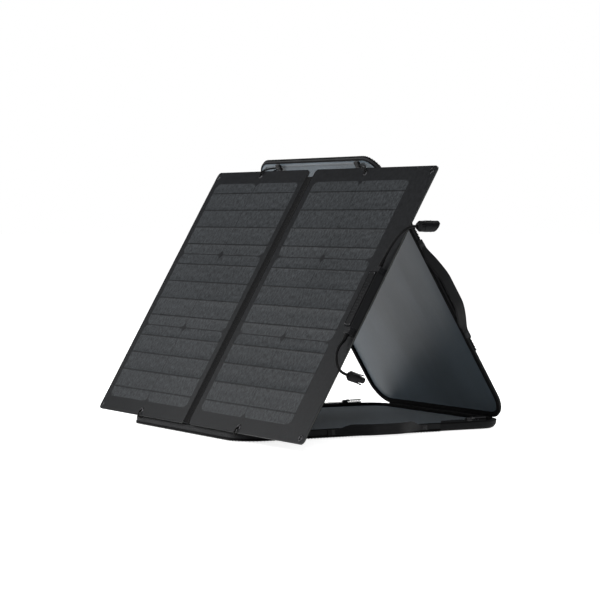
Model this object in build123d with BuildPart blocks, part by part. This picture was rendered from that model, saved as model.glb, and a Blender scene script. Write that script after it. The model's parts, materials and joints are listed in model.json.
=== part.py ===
"""Solar suitcase kit: a two-leaf folding solar panel that leans on its own opened zip case.

Frame: +X along the panel's width, +Y from the panel towards the case hinge, +Z up.
The origin is on the ground, under the middle of the whole kit.
"""

import os
from math import cos, pi, radians, sin, tan

from build123d import *

os.makedirs("parts", exist_ok=True)

# --- Driving dimensions, in mm and degrees ---------------------------------------------

# Folding panel, seen from its front: X from the left edge, Y up the slope from the bottom.
panel_width = 815.0
panel_height = 537.0
panel_slope = 60.0
panel_foot_y = -288.0
panel_foot_z = 19.0
left_leaf_right = 370.0
right_leaf_left = 394.0
corner_radius = 9.0

# Panel layers, as heights over the front face.
film_low = -0.25
ribbon_low = -0.4
cell_low = -0.8
board_low = -2.4
cloth_low = -3.0

# Solar cells: two columns and three rows on each leaf.
cell_width = 166.0
cell_height = 159.0
cell_pitch_y = 160.5
cell_rows = 3
cell_columns = 2
cells_middle_y = 269.5
leaf_cells_middle_x = {"left": 187.5, "right": 580.0}
cell_pitch_x = 167.5
cell_clearance = 0.3
ribbons_per_cell = 4
ribbon_pitch = 38.3
ribbon_width = 1.6

# Eyelets along the top and bottom edges.
eyelet_x = {"left": (9.0, 187.0), "right": (582.0, 803.0)}
eyelet_inset = 10.0
eyelet_bore = 3.2
eyelet_barrel = 4.2
eyelet_flange = 6.5
eyelet_hole = 4.3
eyelet_lip = 0.9
eyelet_back_lip = 0.5

# Junction box on the right border.
box_middle_x = 804.5
box_middle_y = 267.0
box_length = 104.0
box_width = 21.0
box_height = 15.0
box_wall = 1.6
box_shoulder_length = 12.0
box_shoulder_height = 13.0
seal_height = 0.8
lid_height = 3.0
lid_lip = 2.0
screw_radius = 1.1
gland_length = 8.0
gland_root = 4.0
gland_tip = 3.4
lead_height = 9.0
lead_x = 803.0
lead_diameter = 5.0

# Connectors on the leads: places along each one's axis, from the back of its cap nut.
nut_cone = 4.2
socket_radius = 9.6
socket_nut_end = 12.0
socket_body_length = 29.0
socket_seat = 12.0
socket_bore = 6.8
socket_mouth = 38.5
contact_radius = 2.8
contact_bore = 2.05
plug_radius = 8.6
plug_nut_end = 11.0
plug_shoulder = 21.0
plug_nose_length = 12.5
plug_nose_radius = 5.6
plug_bore = 3.4
latch_offset = 7.7
latch_width = 5.0
latch_thickness = 1.8
latch_length = 8.5
pin_length = 11.0
pin_radius = 2.0

# Case halves.
case_x = -56.0
case_width = 460.0
case_length = 565.0
case_wall = 8.0
case_floor = 1.5
case_opening = 59.0
hinge_y = 286.0
hinge_gap = 1.0
free_radius = 50.0
hinge_radius = 50.0
binding_height = 1.2
binding_width = 3.0
board_height = 2.0
lining_height = 0.8
lining_rim_top = -0.4
lay_clearance = 0.5
spine_half_width = 178.0
spine_thickness = 1.2

# The rear half is the thin lid of the case. Heights are measured from the rim.
case_depth = {"base": 16.0, "rear": 9.0}
cover_edge = {"base": 10.0, "rear": 6.0}
foam_height = {"base": 6.0, "rear": 0.8}
gusset_low = {"base": -11.5, "rear": -6.3}
chain_low = {"base": -15.2, "rear": -8.4}

# Zip gussets, which hang folded down outside the walls.
gusset_thickness = 1.2
gusset_start = 150.0
chain_thickness = 2.8
standing_start = 46.0
standing_end = 144.0
standing_height = 2.0
standing_width = 1.6
teeth_width = 3.2
teeth_height = 2.2
teeth_x = 226.0
slider_s = 78.0
slider_length = 12.0
slider_width = 9.0
slider_low = 0.8
slider_high = 6.4
ear_inside = 2.7
ear_outside = 4.1
ear_low = 4.8
ear_high = 7.9
pull_length = 29.0
pull_width = 7.0
pull_neck_width = 4.6
pull_thickness = 2.4
pull_pin = 0.9
pull_eye = 1.9
pull_pin_s = 75.6
pull_pin_height = 6.4

# Webbing handles on the right side of both halves.
handle_middle = 284.0
handle_anchor = 92.0
handle_reach = 261.0
handle_root = 240.5
handle_axis_z = -2.0
strap_width = 20.5
strap_rise = 52.0
strap_bend = 85.0
strap_thickness = 3.2
neck_height = 3.0
neck_end = 234.4
anchor_length = 30.0
rivet_spread = 10.0
anchor_thickness = 1.8
rivet_radius = 2.2

# Elastic loops that hold the panel to the case.
loop_diameter = 3.0
loop_tab_x = {"left": -134.0, "right": 163.0}
loop_tab_start = 548.0
loop_tab_end = 561.8
loop_tab_half_width = 8.0
loop_tab_height = 4.4

# --- Working planes -----------------------------------------------------------------------

slope_cos = cos(radians(panel_slope))
slope_sin = sin(radians(panel_slope))
opening_cos = cos(radians(case_opening))
opening_sin = sin(radians(case_opening))

panel_plane = Plane(
    origin=(-panel_width / 2, panel_foot_y, panel_foot_z),
    x_dir=(1, 0, 0),
    z_dir=(0, -slope_sin, slope_cos),
)
# In both case planes Y runs from the hinge to the free end, and Z points into the case.
case_planes = {
    "base": Plane(
        origin=(case_x, hinge_y, case_depth["base"]), x_dir=(-1, 0, 0), z_dir=(0, 0, 1)
    ),
    "rear": Plane(
        origin=(case_x, hinge_y, case_depth["base"]),
        x_dir=(1, 0, 0),
        z_dir=(0, -opening_sin, -opening_cos),
    ),
}
# The local X sign of the side that carries the handles.
handle_sign = {"base": -1, "rear": 1}


def finish(piece, name):
    """Label a finished piece and write it as its own STEP file."""
    piece.part.label = name
    export_step(piece.part, f"parts/{name}.step")


# --- Case halves --------------------------------------------------------------------------


def half_outline(inset):
    """Plan of a case half pulled in by inset, with the hinge edge beside Y = 0."""
    width = case_width - 2 * inset
    length = case_length - hinge_gap - 2 * inset
    with BuildSketch() as outline:
        with Locations((0, (case_length + hinge_gap) / 2)):
            Rectangle(width, length)
        fillet(outline.vertices().group_by(Axis.Y)[-1], free_radius - inset)
        fillet(outline.vertices().group_by(Axis.Y)[0], hinge_radius - inset)
    return outline.sketch


def half_plate(plane, low, high, inset):
    """Flat plate inside a case half, between two heights."""
    with BuildPart() as plate:
        with BuildSketch(plane.offset(low)):
            add(half_outline(inset))
        extrude(amount=high - low)
    return plate


def half_ring(plane, low, high, outer, inner, start=None):
    """Band that follows the plan of a case half. With a start it leaves out the hinge end."""
    with BuildPart() as ring:
        with BuildSketch(plane.offset(low)):
            add(half_outline(outer))
            add(half_outline(inner), mode=Mode.SUBTRACT)
            if start is not None:
                with Locations((0, start - case_length / 2)):
                    Rectangle(2 * case_width, case_length, mode=Mode.SUBTRACT)
        extrude(amount=high - low)
    return ring


def block(plane, x_low, x_high, y_low, y_high, low, high):
    """Box between given corners of a plane. It joins the part that is being built."""
    with BuildSketch(plane.offset(low)) as face:
        with Locations(((x_low + x_high) / 2, (y_low + y_high) / 2)):
            Rectangle(x_high - x_low, y_high - y_low)
    extrude(face.sketch, amount=high - low)


for half, plane in case_planes.items():
    depth = case_depth[half]
    floor_top = -depth + case_floor
    # Padded cover: the outer floor and the thick rim round it.
    with BuildPart() as cover:
        with BuildSketch(plane.offset(-depth)):
            add(half_outline(0))
        extrude(amount=depth - binding_height)
        outward = Axis(plane.origin, -plane.z_dir)
        fillet(cover.faces().sort_by(outward)[-1].edges(), cover_edge[half])
        with BuildSketch(plane.offset(floor_top)):
            add(half_outline(case_wall))
        extrude(amount=depth, mode=Mode.SUBTRACT)
    finish(cover, f"{half}_cover")

    binding = half_ring(plane, -binding_height, 0, 0, binding_width)
    finish(binding, f"{half}_rim_binding")

    pad_bottom = floor_top + board_height
    foam_top = pad_bottom + foam_height[half]
    inset = case_wall + lay_clearance
    stiffener = half_plate(plane, floor_top, pad_bottom, inset)
    finish(stiffener, f"{half}_stiffener")
    foam = half_plate(plane, pad_bottom, foam_top, inset)
    finish(foam, f"{half}_foam_pad")

    # The lining covers the foam, climbs the wall and ends under the rim binding.
    rim_inset = binding_width + 0.2
    wall_inset = case_wall + lining_height
    bed = half_plate(plane, foam_top, foam_top + lining_height, case_wall)
    climb = half_ring(plane, foam_top, lining_rim_top, case_wall, wall_inset)
    rim = half_ring(plane, -binding_height, lining_rim_top, rim_inset, wall_inset)
    with BuildPart() as lining:
        add(bed.part)
        add(climb.part)
        add(rim.part)
    finish(lining, f"{half}_lining")

    # Gusset cloth, with the short standing stretches beside the hinge on the base.
    fold = gusset_low[half]
    gusset = half_ring(
        plane, fold, -binding_height, -gusset_thickness, 0, gusset_start
    )
    chain = half_ring(plane, chain_low[half], fold, -chain_thickness, 0, gusset_start)
    if half == "base":
        with BuildPart() as gusset_all:
            add(gusset.part)
            for side in (-1, 1):
                x = side * teeth_x
                half_strip = standing_width / 2
                block(
                    plane,
                    x - half_strip,
                    x + half_strip,
                    standing_start,
                    standing_end,
                    lining_rim_top,
                    standing_height,
                )
        with BuildPart() as chain_all:
            add(chain.part)
            for side in (-1, 1):
                x = side * teeth_x
                block(
                    plane,
                    x - teeth_width / 2,
                    x + teeth_width / 2,
                    standing_start,
                    standing_end,
                    standing_height,
                    standing_height + teeth_height,
                )
        gusset, chain = gusset_all, chain_all
    finish(gusset, f"{half}_gusset")
    finish(chain, f"{half}_zip_chain")

    # Sewn tabs that hold the two ends of each elastic loop.
    with BuildPart() as tabs:
        for x in loop_tab_x.values():
            tab_x = x if half == "rear" else -x
            block(
                plane,
                tab_x - loop_tab_half_width,
                tab_x + loop_tab_half_width,
                loop_tab_start,
                loop_tab_end,
                lining_rim_top,
                loop_tab_height,
            )
    finish(tabs, f"{half}_loop_tabs")

    # Handle anchors: patches sewn over the gusset, each with two rivets.
    sign = handle_sign[half]
    patch_x = case_width / 2 + gusset_thickness
    rivet_z = (fold - 0.6) / 2
    with BuildPart() as patches:
        for end in (-1, 1):
            middle = handle_middle + end * handle_anchor
            block(
                plane,
                min(sign * patch_x, sign * (patch_x + anchor_thickness)),
                max(sign * patch_x, sign * (patch_x + anchor_thickness)),
                middle - anchor_length / 2,
                middle + anchor_length / 2,
                fold + 0.3,
                -0.6,
            )
        rivet_plane = Plane(
            origin=plane.from_local_coords((sign * (patch_x + anchor_thickness), 0, 0)),
            x_dir=plane.y_dir,
            z_dir=plane.x_dir * sign,
        )
        # On this plane X runs along the side of the case and Y across its depth.
        across = 1 if rivet_plane.y_dir.dot(plane.z_dir) > 0 else -1
        rivet_places = [
            (handle_middle + end * handle_anchor + along, across * rivet_z)
            for end in (-1, 1)
            for along in (-rivet_spread, rivet_spread)
        ]
        with BuildSketch(rivet_plane):
            with Locations(*rivet_places):
                Circle(rivet_radius)
        extrude(amount=1.1)
    finish(patches, f"{half}_handle_anchors")

    # Webbing strap, arched outwards, with a narrow neck at each sewn end.
    strap_low = handle_axis_z - strap_width / 2
    with BuildPart() as strap:
        with BuildSketch(plane.offset(strap_low)):
            with BuildLine():
                FilletPolyline(
                    (sign * handle_root, handle_middle - handle_anchor),
                    (sign * handle_reach, handle_middle - handle_anchor + strap_rise),
                    (sign * handle_reach, handle_middle + handle_anchor - strap_rise),
                    (sign * handle_root, handle_middle + handle_anchor),
                    radius=strap_bend,
                )
            trace(line_width=strap_thickness)
        extrude(amount=strap_width)
        for end in (-1, 1):
            middle = handle_middle + end * handle_anchor
            block(
                plane,
                min(sign * neck_end, sign * (handle_root + 1.5)),
                max(sign * neck_end, sign * (handle_root + 1.5)),
                middle - neck_height / 2,
                middle + neck_height / 2,
                handle_axis_z - neck_height / 2,
                handle_axis_z + neck_height / 2,
            )
    finish(strap, f"{half}_handle")

# Spine: cloth across both back walls, folded on the hinge line.
with BuildPart() as spine:
    for half, plane in case_planes.items():
        block(
            plane,
            -spine_half_width,
            spine_half_width,
            hinge_gap - 0.2 - spine_thickness,
            hinge_gap - 0.2,
            -case_depth[half] + 1,
            -0.4,
        )
    with BuildSketch(
        Plane(
            origin=(case_x - spine_half_width, hinge_y, case_depth["base"]),
            x_dir=(0, 1, 0),
            z_dir=(1, 0, 0),
        )
    ):
        Circle(0.75)
    extrude(amount=2 * spine_half_width)
finish(spine, "spine_band")

# --- Zip sliders and their pulls ----------------------------------------------------------

pull_low = pull_pin_height - pull_thickness / 2
pull_end = pull_pin_s - pull_length
pull_root = pull_pin_s - 4.8
plane = case_planes["base"]


def across_pin(x, half_length, radius, mode=Mode.ADD):
    """Round bar or hole on the pull's pin axis, centred on x."""
    side_plane = Plane(
        origin=plane.from_local_coords((x - half_length, pull_pin_s, pull_pin_height)),
        x_dir=plane.y_dir,
        z_dir=plane.x_dir,
    )
    with BuildSketch(side_plane) as face:
        Circle(radius)
    extrude(face.sketch, amount=2 * half_length, mode=mode)


for side, sign in (("left", 1), ("right", -1)):
    x = sign * teeth_x
    with BuildPart() as slider:
        block(
            plane,
            x - slider_width / 2,
            x + slider_width / 2,
            slider_s,
            slider_s + slider_length,
            slider_low,
            slider_high,
        )
        fillet(slider.edges().filter_by(Axis.Z), 2.0)
        # The channel that the teeth run through.
        with BuildSketch(plane.offset(slider_low)):
            with Locations((x, slider_s + slider_length / 2)):
                Rectangle(teeth_width + 0.8, slider_length + 2)
        extrude(
            amount=standing_height + teeth_height + 0.4 - slider_low, mode=Mode.SUBTRACT
        )
        # Two ears at the hinge end, with the pull's pin between them.
        for x_low in (x - ear_outside, x + ear_inside):
            block(
                plane,
                x_low,
                x_low + ear_outside - ear_inside,
                pull_pin_s - pull_eye,
                slider_s + 1.5,
                ear_low,
                ear_high,
            )
        across_pin(x, (ear_inside + ear_outside) / 2, pull_pin)
    finish(slider, f"{side}_slider")

    with BuildPart() as pull:
        across_pin(x, pull_neck_width / 2, pull_eye)
        block(
            plane,
            x - pull_neck_width / 2,
            x + pull_neck_width / 2,
            pull_root - 1.0,
            pull_pin_s - pull_pin,
            pull_low + 0.4,
            pull_low + 2.0,
        )
        block(
            plane,
            x - pull_width / 2,
            x + pull_width / 2,
            pull_end,
            pull_root,
            pull_low,
            pull_low + pull_thickness,
        )
        fillet(pull.edges().filter_by(Axis.Z).group_by(Axis.Y)[-1], 2.5)
        across_pin(x, pull_neck_width / 2, pull_pin + 0.05, mode=Mode.SUBTRACT)
    finish(pull, f"{side}_slider_pull")

# --- Folding panel ------------------------------------------------------------------------


def leaf_outline(leaf):
    """Outline of one leaf of the panel, with its four rounded corners."""
    x_low = 0 if leaf == "left" else right_leaf_left
    x_high = left_leaf_right if leaf == "left" else panel_width
    with BuildSketch() as outline:
        with Locations(((x_low + x_high) / 2, panel_height / 2)):
            Rectangle(x_high - x_low, panel_height)
        fillet(outline.vertices(), corner_radius)
        with Locations(*eyelet_centres(leaf)):
            Circle(eyelet_hole, mode=Mode.SUBTRACT)
    return outline.sketch


def eyelet_centres(leaf):
    """The four eyelets of a leaf, in panel X and Y."""
    heights = (eyelet_inset, panel_height - eyelet_inset)
    return [(x, y) for x in eyelet_x[leaf] for y in heights]


def leaf_sheet(leaf, low, high):
    """One full layer of a leaf, between two heights."""
    with BuildPart() as sheet:
        with BuildSketch(panel_plane.offset(low)):
            add(leaf_outline(leaf))
        extrude(amount=high - low)
    return sheet


def cell_grid(leaf):
    """The centres of a leaf's cells."""
    middle = leaf_cells_middle_x[leaf]
    columns = [middle + (i - 0.5) * cell_pitch_x for i in range(cell_columns)]
    rows = [cells_middle_y + (j - 1) * cell_pitch_y for j in range(cell_rows)]
    return [(x, y) for x in columns for y in rows]


def chamfered_cell(grow):
    """Face of one pseudo-square cell, grown on every side."""
    with BuildSketch() as face:
        Rectangle(cell_width + 2 * grow, cell_height + 2 * grow)
        chamfer(face.vertices(), 6.0)
    return face.sketch


for leaf in ("left", "right"):
    finish(leaf_sheet(leaf, film_low, 0), f"{leaf}_film")
    finish(leaf_sheet(leaf, board_low, cell_low), f"{leaf}_board")
    finish(leaf_sheet(leaf, cloth_low, board_low), f"{leaf}_back_cloth")

    with BuildPart() as encapsulant:
        with BuildSketch(panel_plane.offset(cell_low)):
            add(leaf_outline(leaf))
            with Locations(*cell_grid(leaf)):
                add(chamfered_cell(cell_clearance), mode=Mode.SUBTRACT)
        extrude(amount=ribbon_low - cell_low)
    finish(encapsulant, f"{leaf}_encapsulant")

    with BuildPart() as cells:
        with BuildSketch(panel_plane.offset(cell_low)):
            with Locations(*cell_grid(leaf)):
                add(chamfered_cell(0))
        extrude(amount=ribbon_low - cell_low)
    finish(cells, f"{leaf}_cells")

    # Ribbons run across both columns, four to each row of cells.
    ribbon_length = cell_pitch_x + cell_width + 6
    rows = [cells_middle_y + (j - 1) * cell_pitch_y for j in range(cell_rows)]
    centres = [
        (leaf_cells_middle_x[leaf], row + (k - (ribbons_per_cell - 1) / 2) * ribbon_pitch)
        for row in rows
        for k in range(ribbons_per_cell)
    ]
    with BuildPart() as ribbons:
        with BuildSketch(panel_plane.offset(ribbon_low)):
            with Locations(*centres):
                Rectangle(ribbon_length, ribbon_width)
        extrude(amount=film_low - ribbon_low)
    finish(ribbons, f"{leaf}_ribbons")

    with BuildPart() as eyelets:
        with BuildSketch(panel_plane.offset(cloth_low - eyelet_back_lip)):
            with Locations(*eyelet_centres(leaf)):
                Circle(eyelet_flange)
        extrude(amount=eyelet_back_lip)
        with BuildSketch(panel_plane.offset(cloth_low)):
            with Locations(*eyelet_centres(leaf)):
                Circle(eyelet_barrel)
        extrude(amount=-cloth_low)
        with BuildSketch(panel_plane):
            with Locations(*eyelet_centres(leaf)):
                Circle(eyelet_flange)
        extrude(amount=eyelet_lip)
        with BuildSketch(panel_plane.offset(cloth_low - eyelet_back_lip)):
            with Locations(*eyelet_centres(leaf)):
                Circle(eyelet_bore)
        extrude(amount=eyelet_back_lip - cloth_low + eyelet_lip, mode=Mode.SUBTRACT)
    finish(eyelets, f"{leaf}_eyelets")

# Cloth strip between the leaves, folded on the line where the leaves close.
strip_gap = 0.3
with BuildPart() as seam:
    block(
        panel_plane,
        left_leaf_right + strip_gap,
        right_leaf_left - strip_gap,
        8,
        panel_height - 8,
        -1.5,
        -0.3,
    )
finish(seam, "fold_seam_strip")

# Flexible ribbon under the strip that carries the current across the fold.
with BuildPart() as bridge:
    for y in (cells_middle_y - 20, cells_middle_y + 20):
        block(
            panel_plane,
            left_leaf_right + strip_gap,
            right_leaf_left - strip_gap,
            y - 4,
            y + 4,
            -1.9,
            -1.6,
        )
finish(bridge, "fold_bridge_ribbon")

# --- Junction box -------------------------------------------------------------------------

box_low_y = box_middle_y - box_length / 2
box_high_y = box_middle_y + box_length / 2
box_left = box_middle_x - box_width / 2
box_right = box_middle_x + box_width / 2
seal_top = box_height + seal_height

with BuildPart() as housing:
    block(panel_plane, box_left, box_right, box_low_y, box_high_y, 0, box_height)
    block(
        panel_plane,
        box_left + 2,
        box_right - 2,
        box_low_y - box_shoulder_length,
        box_high_y + box_shoulder_length,
        0,
        box_shoulder_height,
    )
    fillet(housing.edges().filter_by(Axis((0, 0, 0), panel_plane.z_dir)), 0.8)
    block_top = panel_plane.offset(box_height)
    with BuildSketch(block_top):
        with Locations((box_middle_x, box_middle_y)):
            Rectangle(box_width - 2 * box_wall, box_length - 2 * box_wall)
    extrude(amount=box_wall - box_height, mode=Mode.SUBTRACT)
    # Passages for the two leads through the end walls.
    bore_plane = Plane(
        origin=panel_plane.from_local_coords((lead_x, 0, lead_height)),
        x_dir=(1, 0, 0),
        z_dir=panel_plane.y_dir,
    )
    for start, run in (
        (box_low_y - box_shoulder_length - 1, box_shoulder_length + 4),
        (box_high_y - 3, box_shoulder_length + 4),
    ):
        with BuildSketch(bore_plane.offset(start)):
            Circle(lead_diameter / 2 + 0.2)
        extrude(amount=run, mode=Mode.SUBTRACT)
finish(housing, "junction_box_housing")

with BuildPart() as seal:
    with BuildSketch(panel_plane.offset(box_height)):
        with Locations((box_middle_x, box_middle_y)):
            Rectangle(box_width - 0.4, box_length - 0.4)
            Rectangle(
                box_width - 2 * box_wall, box_length - 2 * box_wall, mode=Mode.SUBTRACT
            )
    extrude(amount=seal_height)
finish(seal, "junction_box_seal")

screw_places = [
    (box_middle_x + i * (box_width / 2 - 2.2), box_middle_y + j * (box_length / 2 - 3))
    for i in (-1, 1)
    for j in (-1, 1)
]
with BuildPart() as lid:
    block(
        panel_plane,
        box_left,
        box_right,
        box_low_y,
        box_high_y,
        seal_top,
        seal_top + lid_height,
    )
    fillet(lid.edges().filter_by(Axis((0, 0, 0), panel_plane.z_dir)), 1.4)
    lid_axis = Axis(panel_plane.origin, panel_plane.z_dir)
    fillet(lid.faces().sort_by(lid_axis)[-1].edges(), 0.8)
    block(
        panel_plane,
        box_left + box_wall + 0.3,
        box_right - box_wall - 0.3,
        box_low_y + 8,
        box_high_y - 8,
        seal_top - lid_lip,
        seal_top,
    )
    with BuildSketch(panel_plane.offset(seal_top + lid_height)):
        with Locations(*screw_places):
            Circle(screw_radius + 0.2)
    extrude(amount=-1.6, mode=Mode.SUBTRACT)
finish(lid, "junction_box_lid")

with BuildPart() as screws:
    with BuildSketch(panel_plane.offset(seal_top + lid_height - 1.5)):
        with Locations(*screw_places):
            Circle(screw_radius)
    extrude(amount=1.2)
finish(screws, "junction_box_screws")

# Inside: three terminal strips and two bypass diodes that bridge them.
terminal_places = [box_middle_y + k * 30 for k in (-1, 0, 1)]
with BuildPart() as terminals:
    for y in terminal_places:
        block(
            panel_plane,
            box_middle_x - 6,
            box_middle_x + 6,
            y - 5,
            y + 5,
            box_wall,
            box_wall + 3,
        )
finish(terminals, "junction_box_terminals")

with BuildPart() as diodes:
    for y in (box_middle_y - 15, box_middle_y + 15):
        with BuildSketch(
            Plane(
                origin=panel_plane.from_local_coords((box_middle_x, y - 4.5, 7.4)),
                x_dir=(1, 0, 0),
                z_dir=panel_plane.y_dir,
            )
        ):
            Circle(2.6)
        extrude(amount=9)
finish(diodes, "junction_box_diodes")

with BuildPart() as glands:
    for start, way in (
        (box_high_y + box_shoulder_length, 1),
        (box_low_y - box_shoulder_length, -1),
    ):
        face = Plane(
            origin=panel_plane.from_local_coords((lead_x, start, lead_height)),
            x_dir=(1, 0, 0),
            z_dir=panel_plane.y_dir * way,
        )
        with BuildSketch(face):
            Circle(gland_root)
        with BuildSketch(face.offset(gland_length)):
            Circle(gland_tip)
        loft()
        with BuildSketch(face):
            Circle(lead_diameter / 2 + 0.05)
        extrude(amount=gland_length, mode=Mode.SUBTRACT)
finish(glands, "cable_glands")

# --- Leads and connectors -----------------------------------------------------------------

# Routes on the panel: X from the left edge, Y up the slope, Z over the front face.
# Both start inside their glands and end at the back of their connectors.
lead_routes = {
    "upper": [
        (803.0, 331.0, 9.0),
        (803.0, 352.0, 9.0),
        (807.5, 376.0, 10.0),
        (816.5, 394.5, 10.0),
        (822.5, 408.5, 6.0),
        (824.5, 417.2, -0.5),
        (824.5, 422.2, -9.2),
    ],
    "lower": [
        (803.0, 203.0, 9.0),
        (803.0, 188.7, 9.0),
        (809.2, 175.3, 15.8),
        (818.4, 159.8, 18.6),
        (822.4, 148.1, 13.8),
        (823.3, 140.4, 5.2),
        (822.9, 137.5, -5.6),
        (822.7, 139.6, -16.2),
    ],
}


def arc_radii(points):
    """The largest even arc for each corner of a route."""
    radii = []
    for before, at, after in zip(points, points[1:], points[2:]):
        arrive = Vector(*at) - Vector(*before)
        leave = Vector(*after) - Vector(*at)
        half_turn = radians(arrive.get_angle(leave)) / 2
        radii.append(0.45 * min(arrive.length, leave.length) / tan(half_turn))
    return radii


def on_panel(point):
    """A panel point as a point of the whole kit."""
    return panel_plane.from_local_coords(Vector(*point))


lead_ends = {}
for name, route in lead_routes.items():
    points = [on_panel(point) for point in route]
    radii = arc_radii([tuple(point) for point in points])
    with BuildPart() as lead:
        with BuildLine() as path:
            FilletPolyline(*points, radius=radii)
        start = Plane(origin=path.line @ 0, z_dir=path.line % 0)
        with BuildSketch(start):
            Circle(lead_diameter / 2)
        sweep()
    length = path.wires()[0].length
    area = pi * (lead_diameter / 2) ** 2
    print(name, "lead", "radii", [round(r, 1) for r in radii], "length", round(length, 1))
    print("  volume", round(lead.part.volume, 1), "section x length", round(area * length, 1))
    finish(lead, f"{name}_lead")
    lead_ends[name] = Plane(origin=points[-1], z_dir=points[-1] - points[-2])


def tube(plane, start, length, outer, inner=0.0, end=None):
    """Round piece along a plane's normal, with an optional bore and end radius."""
    with BuildSketch(plane.offset(start)) as near:
        Circle(outer)
    if end is None:
        extrude(near.sketch, amount=length)
    else:
        with BuildSketch(plane.offset(start + length)) as far:
            Circle(end)
        loft([near.sketch, far.sketch])
    if inner:
        with BuildSketch(plane.offset(start)) as bore:
            Circle(inner)
        extrude(bore.sketch, amount=length, mode=Mode.SUBTRACT)


# Socket connector on the upper lead: cap nut, barrel with a slanted mouth, sleeve contact.
upper = lead_ends["upper"]
socket_bore_start = socket_nut_end + socket_seat
with BuildPart() as socket_nut:
    tube(upper, 0, nut_cone, 6.0, end=socket_radius - 0.4)
    tube(upper, nut_cone, socket_nut_end - nut_cone, socket_radius)
finish(socket_nut, "socket_cap_nut")
with BuildPart() as socket_body:
    tube(upper, socket_nut_end, socket_body_length, socket_radius)
    with BuildSketch(upper.offset(socket_bore_start)):
        Circle(socket_bore)
    extrude(amount=socket_body_length - socket_seat, mode=Mode.SUBTRACT)
    mouth = Plane(
        origin=upper.from_local_coords((0, 0, socket_mouth)),
        x_dir=(1, 0, 0),
        z_dir=upper.z_dir + Vector(0, 0, -0.55),
    )
    split(bisect_by=mouth, keep=Keep.BOTTOM)
finish(socket_body, "socket_body")
with BuildPart() as socket_contact:
    tube(upper, socket_bore_start, 9.0, contact_radius, inner=contact_bore)
finish(socket_contact, "socket_contact")

# Plug connector on the lower lead: cap nut, barrel with two latch arms, nose and pin.
lower = lead_ends["lower"]
with BuildPart() as plug_nut:
    tube(lower, 0, nut_cone, 5.5, end=plug_radius - 0.2)
    tube(lower, nut_cone, plug_nut_end - nut_cone, plug_radius + 0.4)
finish(plug_nut, "plug_cap_nut")
with BuildPart() as plug_body:
    tube(lower, plug_nut_end, plug_shoulder - plug_nut_end, plug_radius)
    tube(lower, plug_shoulder, plug_nose_length, plug_nose_radius)
    with BuildSketch(lower.offset(plug_shoulder)):
        Circle(plug_bore)
    extrude(amount=plug_nose_length, mode=Mode.SUBTRACT)
    for side in (-1, 1):
        arm = lower.offset(plug_shoulder)
        with BuildSketch(arm):
            with Locations((0, side * latch_offset)):
                Rectangle(latch_width, latch_thickness)
        extrude(amount=latch_length)
finish(plug_body, "plug_body")
with BuildPart() as plug_pin:
    tube(lower, plug_shoulder, pin_length, pin_radius)
finish(plug_pin, "plug_pin")

# --- Elastic loops ------------------------------------------------------------------------

# Each loop leaves its tab, goes round the panel's edge and back through an eyelet.
# Points are panel X, Y and height, measured from the eyelet and its nearest edge.
loop_reach = {
    "left": eyelet_x["left"][1] - (loop_tab_x["left"] + case_x + panel_width / 2),
    "right": eyelet_x["right"][0] - (loop_tab_x["right"] + case_x + panel_width / 2),
}


def loop_points(half, side):
    """Route of one loop: over the panel's edge, through the eyelet and back."""
    eyelet = eyelet_x[side][1] if side == "left" else eyelet_x[side][0]
    tab = eyelet - loop_reach[side]
    way = 1 if eyelet > tab else -1
    if half == "rear":
        top = panel_height
        return [
            (tab + way * 9.2, top + 14.2, -12.5),
            (tab + way * 14.2, top + 14.0, -11.9),
            (eyelet - way * 13, top + 5.0, -0.5),
            (eyelet - way * 4, top - 1.5, 3.6),
            (eyelet, top - eyelet_inset, 3.8),
            (eyelet, top - eyelet_inset, -7.4),
            (eyelet - way * 8, top - 3.0, -8.6),
            (tab + way * 14.2, top + 12.0, -15.4),
            (tab + way * 9.2, top + 12.4, -15.9),
        ]
    return [
        (tab + way * 9.2, 11.0, -20.7),
        (tab + way * 14.2, 11.0, -19.7),
        (eyelet - way * 6, 10.8, -12.0),
        (eyelet, eyelet_inset, -7.5),
        (eyelet, eyelet_inset, 3.8),
        (eyelet - way * 2, -3.0, 3.6),
        (eyelet - way * 6, -4.2, -3.4),
        (eyelet - way * 9, 4.7, -8.3),
        (tab + way * 14.2, 8.8, -16.6),
        (tab + way * 9.2, 9.1, -17.4),
    ]


for half in ("base", "rear"):
    for side in ("left", "right"):
        points = [on_panel(point) for point in loop_points(half, side)]
        radii = [min(r, 12.0) for r in arc_radii([tuple(p) for p in points])]
        with BuildPart() as loop:
            with BuildLine() as path:
                FilletPolyline(*points, radius=radii)
            with BuildSketch(Plane(origin=path.line @ 0, z_dir=path.line % 0)):
                Circle(loop_diameter / 2)
            sweep()
        print(half, side, "loop radii", [round(r, 1) for r in radii])
        finish(loop, f"{half}_{side}_loop")
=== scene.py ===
"""Looks of the solar suitcase kit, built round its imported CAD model.

Pieces are drawn in millimetres in one of three flat frames (the panel and the two case
halves) and then carried into the row frame, so they fit the CAD nodes they stand for.
"""

import json
import math

import bmesh
import bpy
import numpy as np
from mathutils import Matrix, Vector, noise


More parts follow.
